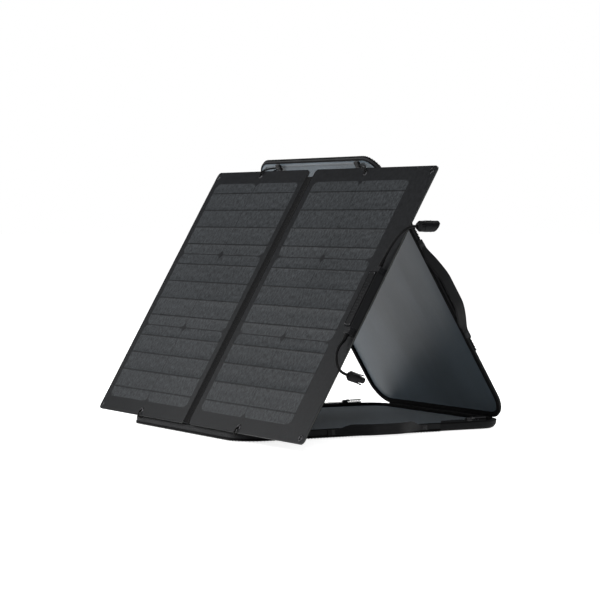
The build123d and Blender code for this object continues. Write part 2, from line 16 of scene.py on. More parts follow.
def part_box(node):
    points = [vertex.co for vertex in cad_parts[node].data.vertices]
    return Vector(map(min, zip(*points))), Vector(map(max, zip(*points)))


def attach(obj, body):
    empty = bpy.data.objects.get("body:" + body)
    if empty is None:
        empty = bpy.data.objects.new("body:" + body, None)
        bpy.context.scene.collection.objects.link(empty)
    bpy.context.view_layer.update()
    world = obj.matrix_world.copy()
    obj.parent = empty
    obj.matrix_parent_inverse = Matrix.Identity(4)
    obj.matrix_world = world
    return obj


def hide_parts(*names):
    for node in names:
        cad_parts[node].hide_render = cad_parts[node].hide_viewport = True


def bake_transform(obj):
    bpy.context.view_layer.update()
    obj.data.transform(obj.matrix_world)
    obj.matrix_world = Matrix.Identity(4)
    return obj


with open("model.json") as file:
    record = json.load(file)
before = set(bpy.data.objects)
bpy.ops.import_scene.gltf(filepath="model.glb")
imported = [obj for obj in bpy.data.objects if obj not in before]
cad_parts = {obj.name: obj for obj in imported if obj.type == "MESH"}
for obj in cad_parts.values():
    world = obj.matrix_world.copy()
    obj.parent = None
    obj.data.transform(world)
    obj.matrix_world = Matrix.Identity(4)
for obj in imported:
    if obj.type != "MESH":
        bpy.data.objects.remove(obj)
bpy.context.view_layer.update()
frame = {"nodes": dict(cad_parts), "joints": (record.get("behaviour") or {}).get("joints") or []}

MM = 0.001

# --- The three flat frames ---

SLOPE = math.radians(60.0)
OPENING = math.radians(59.0)
joints = {joint["name"]: joint for joint in frame["joints"]}
case_x, hinge_y, rim_z = joints["stand_open"]["pos_m"]
foot_y, foot_z = joints["panel_tilt"]["pos_m"][1:]
panel_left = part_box("left_film")[0].x


def flat_frame(origin, x_axis, y_axis, z_axis):
    """Matrix that carries millimetres in a flat frame to metres in the row frame."""
    matrix = Matrix.Identity(4)
    for column, axis in enumerate((x_axis, y_axis, z_axis)):
        for row in range(3):
            matrix[row][column] = axis[row] * MM
    matrix.translation = origin
    return matrix


panel_frame = flat_frame(
    (panel_left, foot_y, foot_z), (1, 0, 0), (0, math.cos(SLOPE), math.sin(SLOPE)),
    (0, -math.sin(SLOPE), math.cos(SLOPE)),
)
hinge = (case_x, hinge_y, rim_z)
case_frames = {
    "base": flat_frame(hinge, (-1, 0, 0), (0, -1, 0), (0, 0, 1)),
    "rear": flat_frame(
        hinge,
        (1, 0, 0),
        (0, -math.cos(OPENING), math.sin(OPENING)),
        (0, -math.sin(OPENING), -math.cos(OPENING)),
    ),
}
HANDLE_SIDE = {"base": -1, "rear": 1}

# --- Sizes shared with the CAD model, in mm ---

PANEL_WIDTH, PANEL_HEIGHT = 815.0, 537.0
LEFT_LEAF_RIGHT, RIGHT_LEAF_LEFT = 370.0, 394.0
LEAF_SIDES = {"left": (0.0, LEFT_LEAF_RIGHT), "right": (RIGHT_LEAF_LEFT, PANEL_WIDTH)}
LEAF_CORNER, HEM = 9.0, 14.0
CELL_WIDTH, CELL_HEIGHT, CELL_CORNER = 166.0, 159.0, 6.0
CELL_PITCH_X, CELL_PITCH_Y, CELLS_MIDDLE_Y = 167.5, 160.5, 269.5
LEAF_CELLS_MIDDLE = {"left": 187.5, "right": 580.0}
RIBBON_PITCH, RIBBONS_PER_CELL, RIBBON_HALF_WIDTH = 38.3, 4, 1.3
EYELET_X = {"left": (9.0, 187.0), "right": (582.0, 803.0)}
EYELET_INSET = 10.0
CASE_HALF_WIDTH, CASE_LENGTH = 230.0, 565.0
FREE_RADIUS, HINGE_RADIUS, HINGE_GAP = 50.0, 50.0, 1.0
CASE_DEPTH = {"base": 16.0, "rear": 9.0}
CLOTH_EDGE = {"base": 11.5, "rear": 6.0}
LINING_TOP = {"base": -5.7, "rear": -3.9}
GUSSET_LOW = {"base": -11.5, "rear": -6.3}
CHAIN_LOW = {"base": -15.2, "rear": -8.4}
GUSSET_START = 150.0
SPINE_HALF_WIDTH = 178.0
HANDLE_MIDDLE, HANDLE_ANCHOR, HANDLE_REACH = 284.0, 92.0, 261.0
TEETH_X, STANDING_START, STANDING_END = 226.0, 46.0, 144.0
SLIDER_START, SLIDER_END = 78.0, 90.0
PIN_S, PIN_HEIGHT, PULL_LENGTH = 75.6, 6.4, 29.0
LOOP_TAB_X = {"left": -134.0, "right": 163.0}
LOOP_TAB_START, LOOP_TAB_END = 548.0, 561.8
FACING_END = 512.0
BINDING_STITCH_START = 51.0
HINGE_EDGE_RUN = 2 * (CASE_HALF_WIDTH - HINGE_RADIUS)


def put_in_scene(name, data):
    """New object of some data, linked into the scene."""
    made = bpy.data.objects.new(name, data)
    bpy.context.scene.collection.objects.link(made)
    return made


# --- Camera ---

camera_data = bpy.data.cameras.new("camera")
camera_data.lens, camera_data.sensor_width = 134.61, 36.0
camera_data.clip_start, camera_data.clip_end = 0.05, 100.0
camera = put_in_scene("camera", camera_data)
camera.location = (3.6346, hinge_y - 2.3988, 0.4008)
camera.rotation_mode = "QUATERNION"
camera.rotation_quaternion = Vector((-0.8702, 0.4911, -0.0383)).to_track_quat("-Z", "Y")
bpy.context.scene.camera = camera

# --- Materials ---


def add_node(tree, kind, inputs=None, **settings):
    """Node of a kind, with its settings and inputs. An input that is a socket is linked."""
    made = tree.nodes.new(kind)
    for key, value in settings.items():
        setattr(made, key, value)
    for key, value in (inputs or {}).items():
        if isinstance(value, bpy.types.NodeSocket):
            tree.links.new(value, made.inputs[key])
        else:
            made.inputs[key].default_value = value
    return made


def start_material(name, roughness, specular=0.3, **shader_inputs):
    """Material with its node tree and shader. Other inputs are set on the shader itself."""
    material = bpy.data.materials.new(name)
    material.use_nodes = True
    tree = material.node_tree
    shader = tree.nodes["Principled BSDF"]
    shader.inputs["Roughness"].default_value = roughness
    shader.inputs["Specular IOR Level"].default_value = specular
    for key, value in shader_inputs.items():
        shader.inputs[key.replace("_", " ")].default_value = value
    return material, tree, shader


def coordinates(tree, on_cad):
    """Where a point is: on the piece's own flat frame, or in the row frame on a CAD node."""
    if on_cad:
        return add_node(tree, "ShaderNodeTexCoord").outputs["Object"]
    return add_node(tree, "ShaderNodeAttribute", attribute_name="place").outputs["Vector"]


def maths(tree, operation, a, b=0.0):
    return add_node(tree, "ShaderNodeMath", {0: a, 1: b}, operation=operation).outputs[0]


def noise_value(tree, vector, size, detail=2.0, roughness=0.5):
    """Noise with features of a size in mm, from 0 to 1."""
    inputs = {"Vector": vector, "Scale": 1 / (size * MM)}
    inputs |= {"Detail": detail, "Roughness": roughness}
    return add_node(tree, "ShaderNodeTexNoise", inputs).outputs["Fac"]


def wave_value(tree, vector, pitch, direction):
    """Even ridges across a direction, with a pitch in mm."""
    scale = math.pi / (10 * pitch * MM)
    inputs = {"Vector": vector, "Scale": scale}
    made = add_node(tree, "ShaderNodeTexWave", inputs, bands_direction=direction)
    return made.outputs["Fac"]


def ramp(tree, value, low, high, at=(0.0, 1.0)):
    """Colour that runs from low to high as a value goes between two places."""
    made = add_node(tree, "ShaderNodeValToRGB", {"Fac": value})
    for element, place, colour in zip(made.color_ramp.elements, at, (low, high)):
        element.position = place
        element.color = (*colour, 1.0)
    return made.outputs["Color"]


def mix(tree, factor, a, b, blend="MIX"):
    made = add_node(tree, "ShaderNodeMix", data_type="RGBA", blend_type=blend)
    for key, value in ((0, factor), (6, a), (7, b)):
        if isinstance(value, bpy.types.NodeSocket):
            tree.links.new(value, made.inputs[key])
        elif key == 0:
            made.inputs[key].default_value = value
        else:
            made.inputs[key].default_value = (*value, 1.0)
    return made.outputs[2]


def bump(tree, shader, height, depth, strength):
    """Bump of a depth in mm, over any bump the shader already has."""
    inputs = {"Height": height, "Distance": depth * MM, "Strength": strength}
    if shader.inputs["Normal"].is_linked:
        inputs["Normal"] = shader.inputs["Normal"].links[0].from_socket
    made = add_node(tree, "ShaderNodeBump", inputs)
    tree.links.new(made.outputs["Normal"], shader.inputs["Normal"])


def shade(colour, amount):
    return tuple(channel * amount for channel in colour)


def tones(tree, value, colour, dark, pale, at=(0.0, 1.0)):
    """One colour that runs from a dark to a pale shade of itself."""
    return ramp(tree, value, shade(colour, dark), shade(colour, pale), at)


def remap(tree, value, low, high, start=0.0, end=1.0):
    """A value carried from the range start to end to the range low to high."""
    inputs = {"Value": value, "From Min": start, "From Max": end, "To Min": low, "To Max": high}
    return add_node(tree, "ShaderNodeMapRange", inputs).outputs["Result"]


def stretch(tree, vector, *scale):
    """Coordinates scaled along each axis."""
    inputs = {"Vector": vector, "Scale": scale}
    return add_node(tree, "ShaderNodeMapping", inputs).outputs["Vector"]


def worn_edges(tree, colour, worn, amount):
    """Colour that turns paler where the surface is sharply curved."""
    pointy = add_node(tree, "ShaderNodeNewGeometry").outputs["Pointiness"]
    return mix(tree, remap(tree, pointy, 0.0, amount, 0.53, 0.62), colour, worn)


def woven(name, colour, pitch, depth, fuzz, specular=0.12):
    """Plain-woven cloth: crossing threads, uneven dye and a little lint."""
    sheen = {"Sheen_Weight": fuzz, "Sheen_Roughness": 0.5}
    material, tree, shader = start_material(name, 0.85, specular, **sheen)
    at = coordinates(tree, False)
    over, under = (wave_value(tree, at, pitch, axis) for axis in "XY")
    squares = {"Vector": at, "Scale": 1 / (pitch * MM)}
    cross = add_node(tree, "ShaderNodeTexChecker", squares).outputs["Fac"]
    crossing = {0: cross, 2: over, 3: under}
    picked = add_node(tree, "ShaderNodeMix", crossing, data_type="FLOAT").outputs[0]
    base = tones(tree, noise_value(tree, at, 60.0, 4.0), colour, 0.8, 1.25, (0.3, 0.7))
    cloth = mix(tree, 0.5, base, tones(tree, picked, colour, 0.55, 1.25))
    specks = noise_value(tree, at, 1.3, 3.0, 0.7)
    lint = ramp(tree, specks, (0, 0, 0), (0.012,) * 3, (0.66, 0.8))
    tree.links.new(mix(tree, 1.0, cloth, lint, "ADD"), shader.inputs["Base Color"])
    bump(tree, shader, noise_value(tree, at, 9.0, 3.0), 0.5, 0.35)
    bump(tree, shader, picked, depth, 0.8)
    return material


def ribbed(name, colour, pitch=1.5, direction="Y", specular=0.15):
    """Webbing: thick ribs across the strap, with a fine thread along each."""
    material, tree, shader = start_material(name, 0.8, specular, Sheen_Weight=0.15)
    at = coordinates(tree, False)
    ribs = wave_value(tree, at, pitch, direction)
    thread = wave_value(tree, at, pitch / 2.5, "X" if direction == "Y" else "Y")
    patchy = tones(tree, noise_value(tree, at, 25.0, 4.0), colour, 0.75, 1.3)
    cloth = mix(tree, 0.45, tones(tree, ribs, colour, 0.5, 1.4), patchy)
    tree.links.new(cloth, shader.inputs["Base Color"])
    bump(tree, shader, thread, 0.12, 0.6)
    bump(tree, shader, ribs, 0.35, 0.9)
    return material


def moulded(name, colour, roughness=0.45, on_cad=False, specular=0.35, spark=0.35):
    """Moulded plastic or rubber: fine spark texture, faint flow marks and paler edges."""
    material, tree, shader = start_material(name, roughness, specular)
    at = coordinates(tree, on_cad)
    flow = noise_value(tree, at, 40.0, 5.0)
    tone = tones(tree, flow, colour, 0.85, 1.2, (0.3, 0.7))
    worn = worn_edges(tree, tone, shade(colour, 2.4), 0.5)
    tree.links.new(worn, shader.inputs["Base Color"])
    rough = remap(tree, flow, roughness - 0.06, roughness + 0.1)
    tree.links.new(rough, shader.inputs["Roughness"])
    bump(tree, shader, noise_value(tree, at, 0.45, 2.0), 0.06, spark)
    return material


def metal(name, colour, roughness=0.3, metallic=1.0, on_cad=False):
    """Metal or enamelled metal: drawn lines, small scuffs and brighter worn edges."""
    material, tree, shader = start_material(name, roughness, 0.5, Metallic=metallic)
    at = coordinates(tree, on_cad)
    scuffs = noise_value(tree, at, 4.0, 6.0, 0.65)
    tone = tones(tree, scuffs, colour, 0.8, 1.15, (0.35, 0.65))
    pale = tuple(0.6 * channel + 0.12 for channel in colour)
    tree.links.new(worn_edges(tree, tone, pale, 0.6), shader.inputs["Base Color"])
    rough = remap(tree, scuffs, roughness * 0.7, roughness * 1.5)
    tree.links.new(rough, shader.inputs["Roughness"])
    drawn = noise_value(tree, stretch(tree, at, 1.0, 30.0, 30.0), 8.0, 3.0)
    bump(tree, shader, drawn, 0.02, 0.4)
    return material


def film():
    """Embossed panel film over the cells: finger lines, dark ribbons and a speckle."""
    material, tree, shader = start_material("film", 0.5, 0.05)
    at = coordinates(tree, False)
    zone = add_node(tree, "ShaderNodeAttribute", attribute_name="zone").outputs["Color"]
    parts = add_node(tree, "ShaderNodeSeparateColor", {"Color": zone})
    cell, ribbon = parts.outputs[0], parts.outputs[1]
    broad = noise_value(tree, at, 220.0, 2.0)
    border = ramp(tree, broad, (0.0070, 0.0074, 0.0083), (0.0115, 0.0121, 0.0132))
    silicon = ramp(tree, broad, (0.0285, 0.031, 0.033), (0.040, 0.043, 0.046))
    fingers = wave_value(tree, at, 2.6, "X")
    lined = mix(tree, fingers, (0.3, 0.3, 0.32), (1.2, 1.2, 1.2))
    face = mix(tree, 1.0, silicon, lined, "MULTIPLY")
    speckle = noise_value(tree, stretch(tree, at, 1.0, 0.55, 1.0), 5.0, 5.0, 0.75)
    flecks = ramp(tree, speckle, (0.45,) * 3, (1.65,) * 3, (0.36, 0.66))
    face = mix(tree, 1.0, face, flecks, "MULTIPLY")
    face = mix(tree, ribbon, face, mix(tree, 1.0, face, (0.42,) * 3, "MULTIPLY"))
    grained = mix(tree, 0.6, border, mix(tree, 1.0, border, flecks, "MULTIPLY"))
    tree.links.new(mix(tree, cell, grained, face), shader.inputs["Base Color"])
    tree.links.new(remap(tree, speckle, 0.36, 0.6), shader.inputs["Roughness"])
    cups = add_node(tree, "ShaderNodeTexVoronoi", {"Vector": at, "Scale": 1 / (1.5 * MM)})
    bump(tree, shader, cups.outputs["Distance"], 0.08, 0.35)
    bump(tree, shader, noise_value(tree, at, 70.0, 2.0), 0.8, 0.25)
    return material


def lining_cloth():
    """Blue-grey satin lining: fine weave, and long soft streaks of painted sheen in its colour."""
    material, tree, shader = start_material("lining", 0.34, 0.25, Sheen_Weight=0.1)
    at = coordinates(tree, False)
    slow = stretch(tree, at, 1.0, 0.25, 1.0)
    # Painted sheen: long soft streaks of paler colour run along the lining, where light would
    # glance off the satin.
    painted_sheen = noise_value(tree, slow, 90.0, 3.0)
    tone = ramp(tree, painted_sheen, (0.060, 0.082, 0.102), (0.090, 0.121, 0.149), (0.3, 0.7))
    tree.links.new(tone, shader.inputs["Base Color"])
    bump(tree, shader, noise_value(tree, slow, 30.0, 3.0), 0.7, 0.35)
    bump(tree, shader, wave_value(tree, at, 0.5, "X"), 0.05, 0.5)
    return material


def braided():
    """Elastic cord: strands that cross in a fine diamond braid."""
    material, tree, shader = start_material("elastic", 0.7, 0.08, Sheen_Weight=0.04)
    at = coordinates(tree, False)
    left = wave_value(tree, at, 1.3, "DIAGONAL")
    right = wave_value(tree, stretch(tree, at, -1.0, 1.0, 1.0), 1.3, "DIAGONAL")
    strands = maths(tree, "MAXIMUM", left, right)
    tone = ramp(tree, strands, (0.0015,) * 3, (0.006,) * 3)
    tree.links.new(tone, shader.inputs["Base Color"])
    bump(tree, shader, strands, 0.3, 0.8)
    return material


BLACK = (0.0035, 0.0036, 0.004)
CHARCOAL = (0.0095, 0.0099, 0.0108)
looks = {
    "cover": woven("case cloth", CHARCOAL, 0.7, 0.14, 0.06),
    "binding": woven("rim binding", BLACK, 0.5, 0.1, 0.03, specular=0.06),
    "facing": woven("rim facing", (0.0025, 0.0025, 0.0028), 0.5, 0.1, 0.02, specular=0.05),
    "gusset": woven("gusset cloth", (0.018, 0.0184, 0.0196), 0.6, 0.12, 0.06),
    "hinge": woven("hinge cloth", (0.0035, 0.0036, 0.0041), 0.6, 0.12, 0.03, specular=0.05),
    "tape": woven("zip tape", (0.0035, 0.0036, 0.004), 0.4, 0.08, 0.02, specular=0.05),
    "teeth": moulded("zip teeth", (0.0016, 0.0016, 0.0018), 0.45, specular=0.08),
    "webbing": ribbed("webbing", (0.0085, 0.0088, 0.0096), specular=0.08),
    "sleeve": ribbed("strap sleeve", (0.03, 0.03, 0.032), 1.2, "X"),
    "patch": woven("anchor patch", (0.005, 0.005, 0.0056), 0.9, 0.2, 0.06),
    "thread": moulded("thread", (0.008, 0.008, 0.009), 0.6, specular=0.15),
    "rivet": metal("rivet", (0.03, 0.03, 0.032), 0.35, 0.8),
    "eyelet": metal("eyelet", (0.012, 0.012, 0.0135), 0.32, 0.85),
    "slider": metal("slider", (0.018, 0.018, 0.02), 0.3, 0.8),
    "pull": moulded("pull rubber", (0.010, 0.010, 0.011), 0.6, specular=0.25), "film": film(),
    "lining": lining_cloth(),
    "back": woven("panel back cloth", (0.011, 0.0115, 0.0125), 0.5, 0.1, 0.12),
    "seam": woven("fold seam cloth", (0.0022, 0.0022, 0.0025), 0.5, 0.1, 0.02, specular=0.06),
    "elastic": braided(),
    "box": moulded("junction box", (0.0036, 0.0038, 0.0044), 0.42, specular=0.06),
    "connector": moulded("connector", (0.0035, 0.0035, 0.004), 0.38, specular=0.14),
    "jacket": moulded("cable jacket", (0.0025, 0.0025, 0.0028), 0.5, spark=0.2, specular=0.1),
    "contact": metal("contact", (0.55, 0.55, 0.57), 0.25),
}
cad_looks = {
    "stiffener": moulded("stiffener board", (0.05, 0.05, 0.055), 0.7, on_cad=True),
    "foam": moulded("foam", (0.05, 0.05, 0.055), 0.9, on_cad=True, specular=0.1),
    "board": moulded("panel board", (0.02, 0.022, 0.02), 0.6, on_cad=True),
    "filler": moulded("cell filler", (0.01, 0.01, 0.012), 0.4, on_cad=True),
    "cell": moulded("silicon", (0.012, 0.013, 0.02), 0.25, on_cad=True),
    "ribbon": metal("ribbon", (0.3, 0.3, 0.31), 0.35, on_cad=True),
    "housing": moulded("box housing", (0.0045, 0.0047, 0.0054), 0.45, True, 0.1),
    "seal": moulded("seal rubber", (0.005, 0.005, 0.005), 0.75, on_cad=True),
    "screw": metal("screw", (0.4, 0.4, 0.41), 0.35, on_cad=True),
    "brass": metal("terminal", (0.6, 0.45, 0.2), 0.3, on_cad=True),
    "diode": moulded("diode", (0.01, 0.01, 0.01), 0.3, on_cad=True),
    "barrel": moulded("connector barrel", (0.0035, 0.0035, 0.004), 0.38, True, 0.14),
    "tin": metal("tinned contact", (0.55, 0.55, 0.57), 0.25, on_cad=True),
}


def dress(name, look):
    """Gives a carried-over CAD node its material."""
    data = frame["nodes"][name].data
    data.materials.clear()
    data.materials.append(cad_looks[look])


for half in ("base", "rear"):
    dress(f"{half}_stiffener", "stiffener")
    dress(f"{half}_foam_pad", "foam")
for leaf in ("left", "right"):
    for layer, look in (("board", "board"), ("encapsulant", "filler"), ("cells", "cell")):
        dress(f"{leaf}_{layer}", look)
    dress(f"{leaf}_ribbons", "ribbon")
dress("fold_bridge_ribbon", "ribbon")
box_looks = {"housing": "housing", "seal": "seal", "screws": "screw"}
box_looks |= {"terminals": "brass", "diodes": "diode"}
for part, look in box_looks.items():
    dress(f"junction_box_{part}", look)
for name, look in (("socket_body", "barrel"), ("socket_contact", "tin"), ("plug_pin", "tin")):
    dress(name, look)

# --- Mesh tools ---


def make_piece(name, points, faces, matrix, look, places=None, zones=None, smooth=35.0):
    """Mesh piece from millimetre points. Its material reads the flat places it keeps."""
    mesh = bpy.data.meshes.new(name)
    mesh.from_pydata([tuple(p) for p in points], [], faces)
    flat = np.array(points if places is None else places, float) * MM
    mesh.attributes.new("place", "FLOAT_VECTOR", "POINT").data.foreach_set("vector", flat.ravel())
    if zones is not None:
        rgba = np.ones((len(points), 4))
        rgba[:, :3] = zones
        mesh.attributes.new("zone", "FLOAT_COLOR", "POINT").data.foreach_set("color", rgba.ravel())
    mesh.transform(matrix)
    mesh.materials.append(looks[look])
    piece = put_in_scene(name, mesh)
    outward = bmesh.new()
    outward.from_mesh(mesh)
    bmesh.ops.recalc_face_normals(outward, faces=outward.faces)
    outward.to_mesh(mesh)
    outward.free()
    mesh.shade_smooth()
    mesh.set_sharp_from_angle(angle=math.radians(smooth))
    return piece


def settle(piece, body, slot, *stands_for):
    """Makes a piece ride on a body; the slot argument is not used. It may stand for CAD nodes."""
    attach(piece, body)
    if stands_for:
        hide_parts(*stands_for)


def loft(rows, along=False, caps=False):
    """Points and faces of a skin over rows, each closed round. It can close along them too."""
    count = len(rows[0])
    points = [p for row in rows for p in row]
    faces = []
    for i in range(len(rows) if along else len(rows) - 1):
        j = (i + 1) % len(rows)
        for k in range(count):
            m = (k + 1) % count
            faces.append((i * count + k, i * count + m, j * count + m, j * count + k))
    if caps:
        faces.append(tuple(reversed(range(count))))
        last = (len(rows) - 1) * count
        faces.append(tuple(range(last, last + count)))
    return points, faces


def skin(name, rows, matrix, look, places=None, along=False, caps=True, smooth=35.0):
    """Piece whose surface runs over rows of points, each closed round."""
    points, faces = loft(rows, along, caps)
    return make_piece(name, points, faces, matrix, look, places, smooth=smooth)


def lathe(name, profile, matrix, look, turns, flute=None):
    """Piece turned about Z from (radius, height) pairs. A flute changes radii with angle."""
    rows = []
    for radius, height in profile:
        row = []
        for i in range(turns):
            angle = 2 * math.pi * i / turns
            r = radius if flute is None else radius * flute(angle, height)
            row.append((r * math.cos(angle), r * math.sin(angle), height))
        rows.append(row)
    closed = profile[0] == profile[-1]
    rows = rows[:-1] if closed else rows
    return skin(name, rows, matrix, look, along=closed, caps=not closed)


def blocks(name, boxes, matrix, look, bevel):
    """One piece of many small bevelled boxes, each (centre, half sizes, turn about Z)."""
    shape = bmesh.new()
    for centre, half_sizes, turn in boxes:
        place = (
            Matrix.Translation(centre)
            @ Matrix.Rotation(turn, 4, "Z")
            @ Matrix.Diagonal((*(2 * h for h in half_sizes), 1.0))
        )
        bmesh.ops.create_cube(shape, size=1.0, matrix=place)
    if bevel:
        bmesh.ops.bevel(shape, geom=shape.edges[:], offset=bevel, segments=1, affect="EDGES")
    shape.verts.ensure_lookup_table()
    points = [v.co.copy() for v in shape.verts]
    faces = [[v.index for v in f.verts] for f in shape.faces]
    shape.free()
    return make_piece(name, points, faces, matrix, look)


def arc_points(cx, cy, radius, start, end, count):
    """Points and outward directions on an arc, angles in degrees."""
    found = []
    for i in range(count + 1):
        a = math.radians(start + (end - start) * i / count)
        out = (math.cos(a), math.sin(a))
        found.append(((cx + radius * out[0], cy + radius * out[1]), out))
    return found


def half_path(step=12.0, start=None):
    """Way round a case half's outer edge: (point, outward, run). A start leaves it open."""
    w, low, high = CASE_HALF_WIDTH, HINGE_GAP, CASE_LENGTH
    r, h = FREE_RADIUS, HINGE_RADIUS
    side_low = low + h if start is None else start

    def straight(a, b, out):
        count = max(1, round(math.dist(a, b) / step))
        mixed = [[p + (q - p) * i / count for p, q in zip(a, b)] for i in range(1, count)]
        return [(tuple(point), out) for point in mixed]

    path, first, last = [], [((w, side_low), (1, 0))], [((-w, side_low), (-1, 0))]
    if start is None:
        path = straight((-w + h, low), (w - h, low), (0, -1))
        first = arc_points(w - h, low + h, h, -90, 0, 10)
        last = arc_points(-w + h, low + h, h, 180, 270, 10)
    path += first
    path += straight((w, side_low), (w, high - r), (1, 0))
    path += arc_points(w - r, high - r, r, 0, 90, 14)
    path += straight((w - r, high), (-w + r, high), (0, 1))
    path += arc_points(-w + r, high - r, r, 90, 180, 14)
    path += straight((-w, high - r), (-w, side_low), (-1, 0))
    path += last
    return with_runs(path)


def unevenness(*place):
    """Smooth noise at a place, for the unevenness of cloth."""
    return noise.noise(Vector(place))


def with_runs(path):
    """Adds to each point and outward direction of a path how far along it is."""
    found, run, before = [], 0.0, path[0][0]
    for point, out in path:
        run += math.dist(point, before)
        found.append((point, out, run))
        before = point
    return found


def band(name, path, profile, matrix, look, sway=None, closed=True):
    """Band swept along a path, from a closed profile of (outward, height) pairs."""
    rows, places = [], []
    edge = [0.0]
    for a, b in zip(profile, profile[1:]):
        edge.append(edge[-1] + math.dist(a, b))
    for (x, y), (nx, ny), run in path:
        row = []
        for index, (out, height) in enumerate(profile):
            if sway:
                out, height = sway(run, index, out, height)
            row.append((x + nx * out, y + ny * out, height))
            places.append((run, edge[index], 0.0))
        rows.append(row)
    return skin(name, rows, matrix, look, places, closed, not closed)


def along_path(path, pitch):
    """Places at even steps along a path: point, outward and direction angle."""
    found, want = [], pitch / 2
    for (a, out_a, run_a), (b, out_b, run_b) in zip(path, path[1:]):
        while want <= run_b:
            t = (want - run_a) / max(run_b - run_a, 1e-9)
            point = tuple(Vector(a).lerp(Vector(b), t))
            out = Vector(out_a).lerp(Vector(out_b), t).normalized()
            found.append((point, out, math.atan2(out.y, out.x)))
            want += pitch
    return found


def tube_mesh(name, line, radius, matrix, look, sides=10):
    """Round tube along points of a smooth line, in mm. Its places are run and girth."""
    line = [Vector(p) for p in line]
    rows, places, run = [], [], 0.0
    side = Vector((0, 0, 1))
    for i, point in enumerate(line):
        ahead = (line[min(i + 1, len(line) - 1)] - line[max(i - 1, 0)]).normalized()
        side = (side - ahead * side.dot(ahead)).normalized()
        other = ahead.cross(side)
        if i:
            run += (point - line[i - 1]).length
        row = []
        for k in range(sides):
            angle = 2 * math.pi * k / sides
            row.append(point + (side * math.cos(angle) + other * math.sin(angle)) * radius)
            girth = abs(k - sides / 2) / (sides / 2)
            places.append((run, girth * math.pi * radius, 0.0))
        rows.append(row)
    return skin(name, rows, matrix, look, places, smooth=60.0)


def spline_line(route):
    """Points along the smooth NURBS line that has a route's points as control points."""
    data = bpy.data.curves.new("route", "CURVE")
    data.dimensions = "3D"
    spline = data.splines.new("NURBS")
    spline.points.add(len(route) - 1)
    for point, place in zip(spline.points, route):
        point.co = (*place, 1.0)
    spline.order_u = 3
    spline.use_endpoint_u = True
    data.resolution_u = 12
    curve = put_in_scene("route", data)
    mesh = bpy.data.meshes.new_from_object(curve)
    line = [v.co.copy() for v in mesh.vertices]
    bpy.data.objects.remove(curve)
    bpy.data.meshes.remove(mesh)
    return line


# --- Leads, glands and connectors ---

LEAD_RADIUS = 2.5
lead_routes = {
    "upper": [
        (803.0, 331.0, 9.0),
        (803.0, 352.0, 9.0),
        (807.5, 376.0, 10.0),
        (816.5, 394.5, 10.0),
        (822.5, 408.5, 6.0),
        (824.5, 417.2, -0.5),
        (824.5, 422.2, -9.2),
    ],
    "lower": [
        (803.0, 203.0, 9.0),
        (803.0, 188.7, 9.0),
        (809.2, 175.3, 15.8),
        (818.4, 159.8, 18.6),
        (822.4, 148.1, 13.8),
        (823.3, 140.4, 5.2),
        (822.9, 137.5, -5.6),
        (822.7, 139.6, -16.2),
    ],
}


def end_frame(route):
    """Frame at the end of a route, in mm, with Z along its last run."""
    last, before = Vector(route[-1]), Vector(route[-2])
    z = (last - before).normalized()
    x = (Vector((1, 0, 0)) - z * z.x).normalized()
    y = z.cross(x)
    local = Matrix((x, y, z)).transposed().to_4x4()
    local.translation = last
    return panel_frame @ local


def nut(name, matrix, small, large, cone, length):
    """Cap nut with ten rounded finger ridges on its large end."""

    def flute(angle, height):
        if height < cone or height > cone + length - 0.4:
            return 1.0
        return 1.0 - 0.055 * max(0.0, math.cos(10 * angle)) ** 4

    profile = [(LEAD_RADIUS + 0.2, 0.0), (small, 0.0), (small + 0.6, 0.5)]
    profile += [(large - 0.7, cone - 0.6), (large, cone + 0.2)]
    profile += [(large, cone + length * k / 5) for k in range(1, 5)]
    profile += [(large, cone + length - 0.5), (large - 0.5, cone + length)]
    profile += [(LEAD_RADIUS + 0.2, cone + length), (LEAD_RADIUS + 0.2, 0.0)]
    return lathe(name, profile, matrix, "connector", 80, flute)


def boot(name, matrix, length, root):
    """Tapered strain relief with ring grooves."""
    profile = [(LEAD_RADIUS + 0.05, 0.0), (root, 0.0)]
    tip, rings = LEAD_RADIUS + 0.7, 5
    for i in range(rings):
        t = (i + 0.15) / rings
        r = root + (tip - root) * t
        profile += [(r, length * t), (r, length * (t + 0.5 / rings))]
        profile += [(r - 0.55, length * (t + 0.58 / rings)), (r - 0.6, length * (t + 0.82 / rings))]
    profile += [(tip, length - 0.6), (tip - 0.3, length)]
    profile += [(LEAD_RADIUS + 0.05, length), (LEAD_RADIUS + 0.05, 0.0)]
    return lathe(name, profile, matrix, "jacket", 32)


lead_pieces, lead_paths = {}, {}
for side, route in lead_routes.items():
    line = spline_line(route)
    lead = tube_mesh(f"{side}_lead_cable", line, LEAD_RADIUS, panel_frame, "jacket", 20)
    settle(lead, "panel_right", "lead_jacket", f"{side}_lead")
    lead_pieces[side] = lead
    lead_paths[side] = [tuple(panel_frame @ point) for point in line]

upper_end = end_frame(lead_routes["upper"])
lower_end = end_frame(lead_routes["lower"])
socket_nut = nut("socket_nut_ridged", upper_end, 5.4, 9.4, 4.5, 7.5)
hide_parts("socket_cap_nut")
plug_nut = nut("plug_nut_ridged", lower_end, 5.0, 8.8, 4.0, 7.0)
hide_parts("plug_cap_nut")

# Raised grip bars and a stop ring dress the socket's plain barrel.
bars = [
    ((*place, 19.0), (0.3, 0.7, 4.0), math.atan2(out[1], out[0]))
    for place, out in arc_points(0, 0, 9.55, 0, 360, 12)[:-1]
]
socket_grip = blocks("socket_grip_bars", bars, upper_end, "connector", 0.15)
stop_ring = [(9.5, 26.0), (10.0, 26.4), (10.0, 27.6), (9.5, 28.0), (9.5, 26.0)]
socket_ring = lathe("socket_stop_ring", stop_ring, upper_end, "connector", 64)

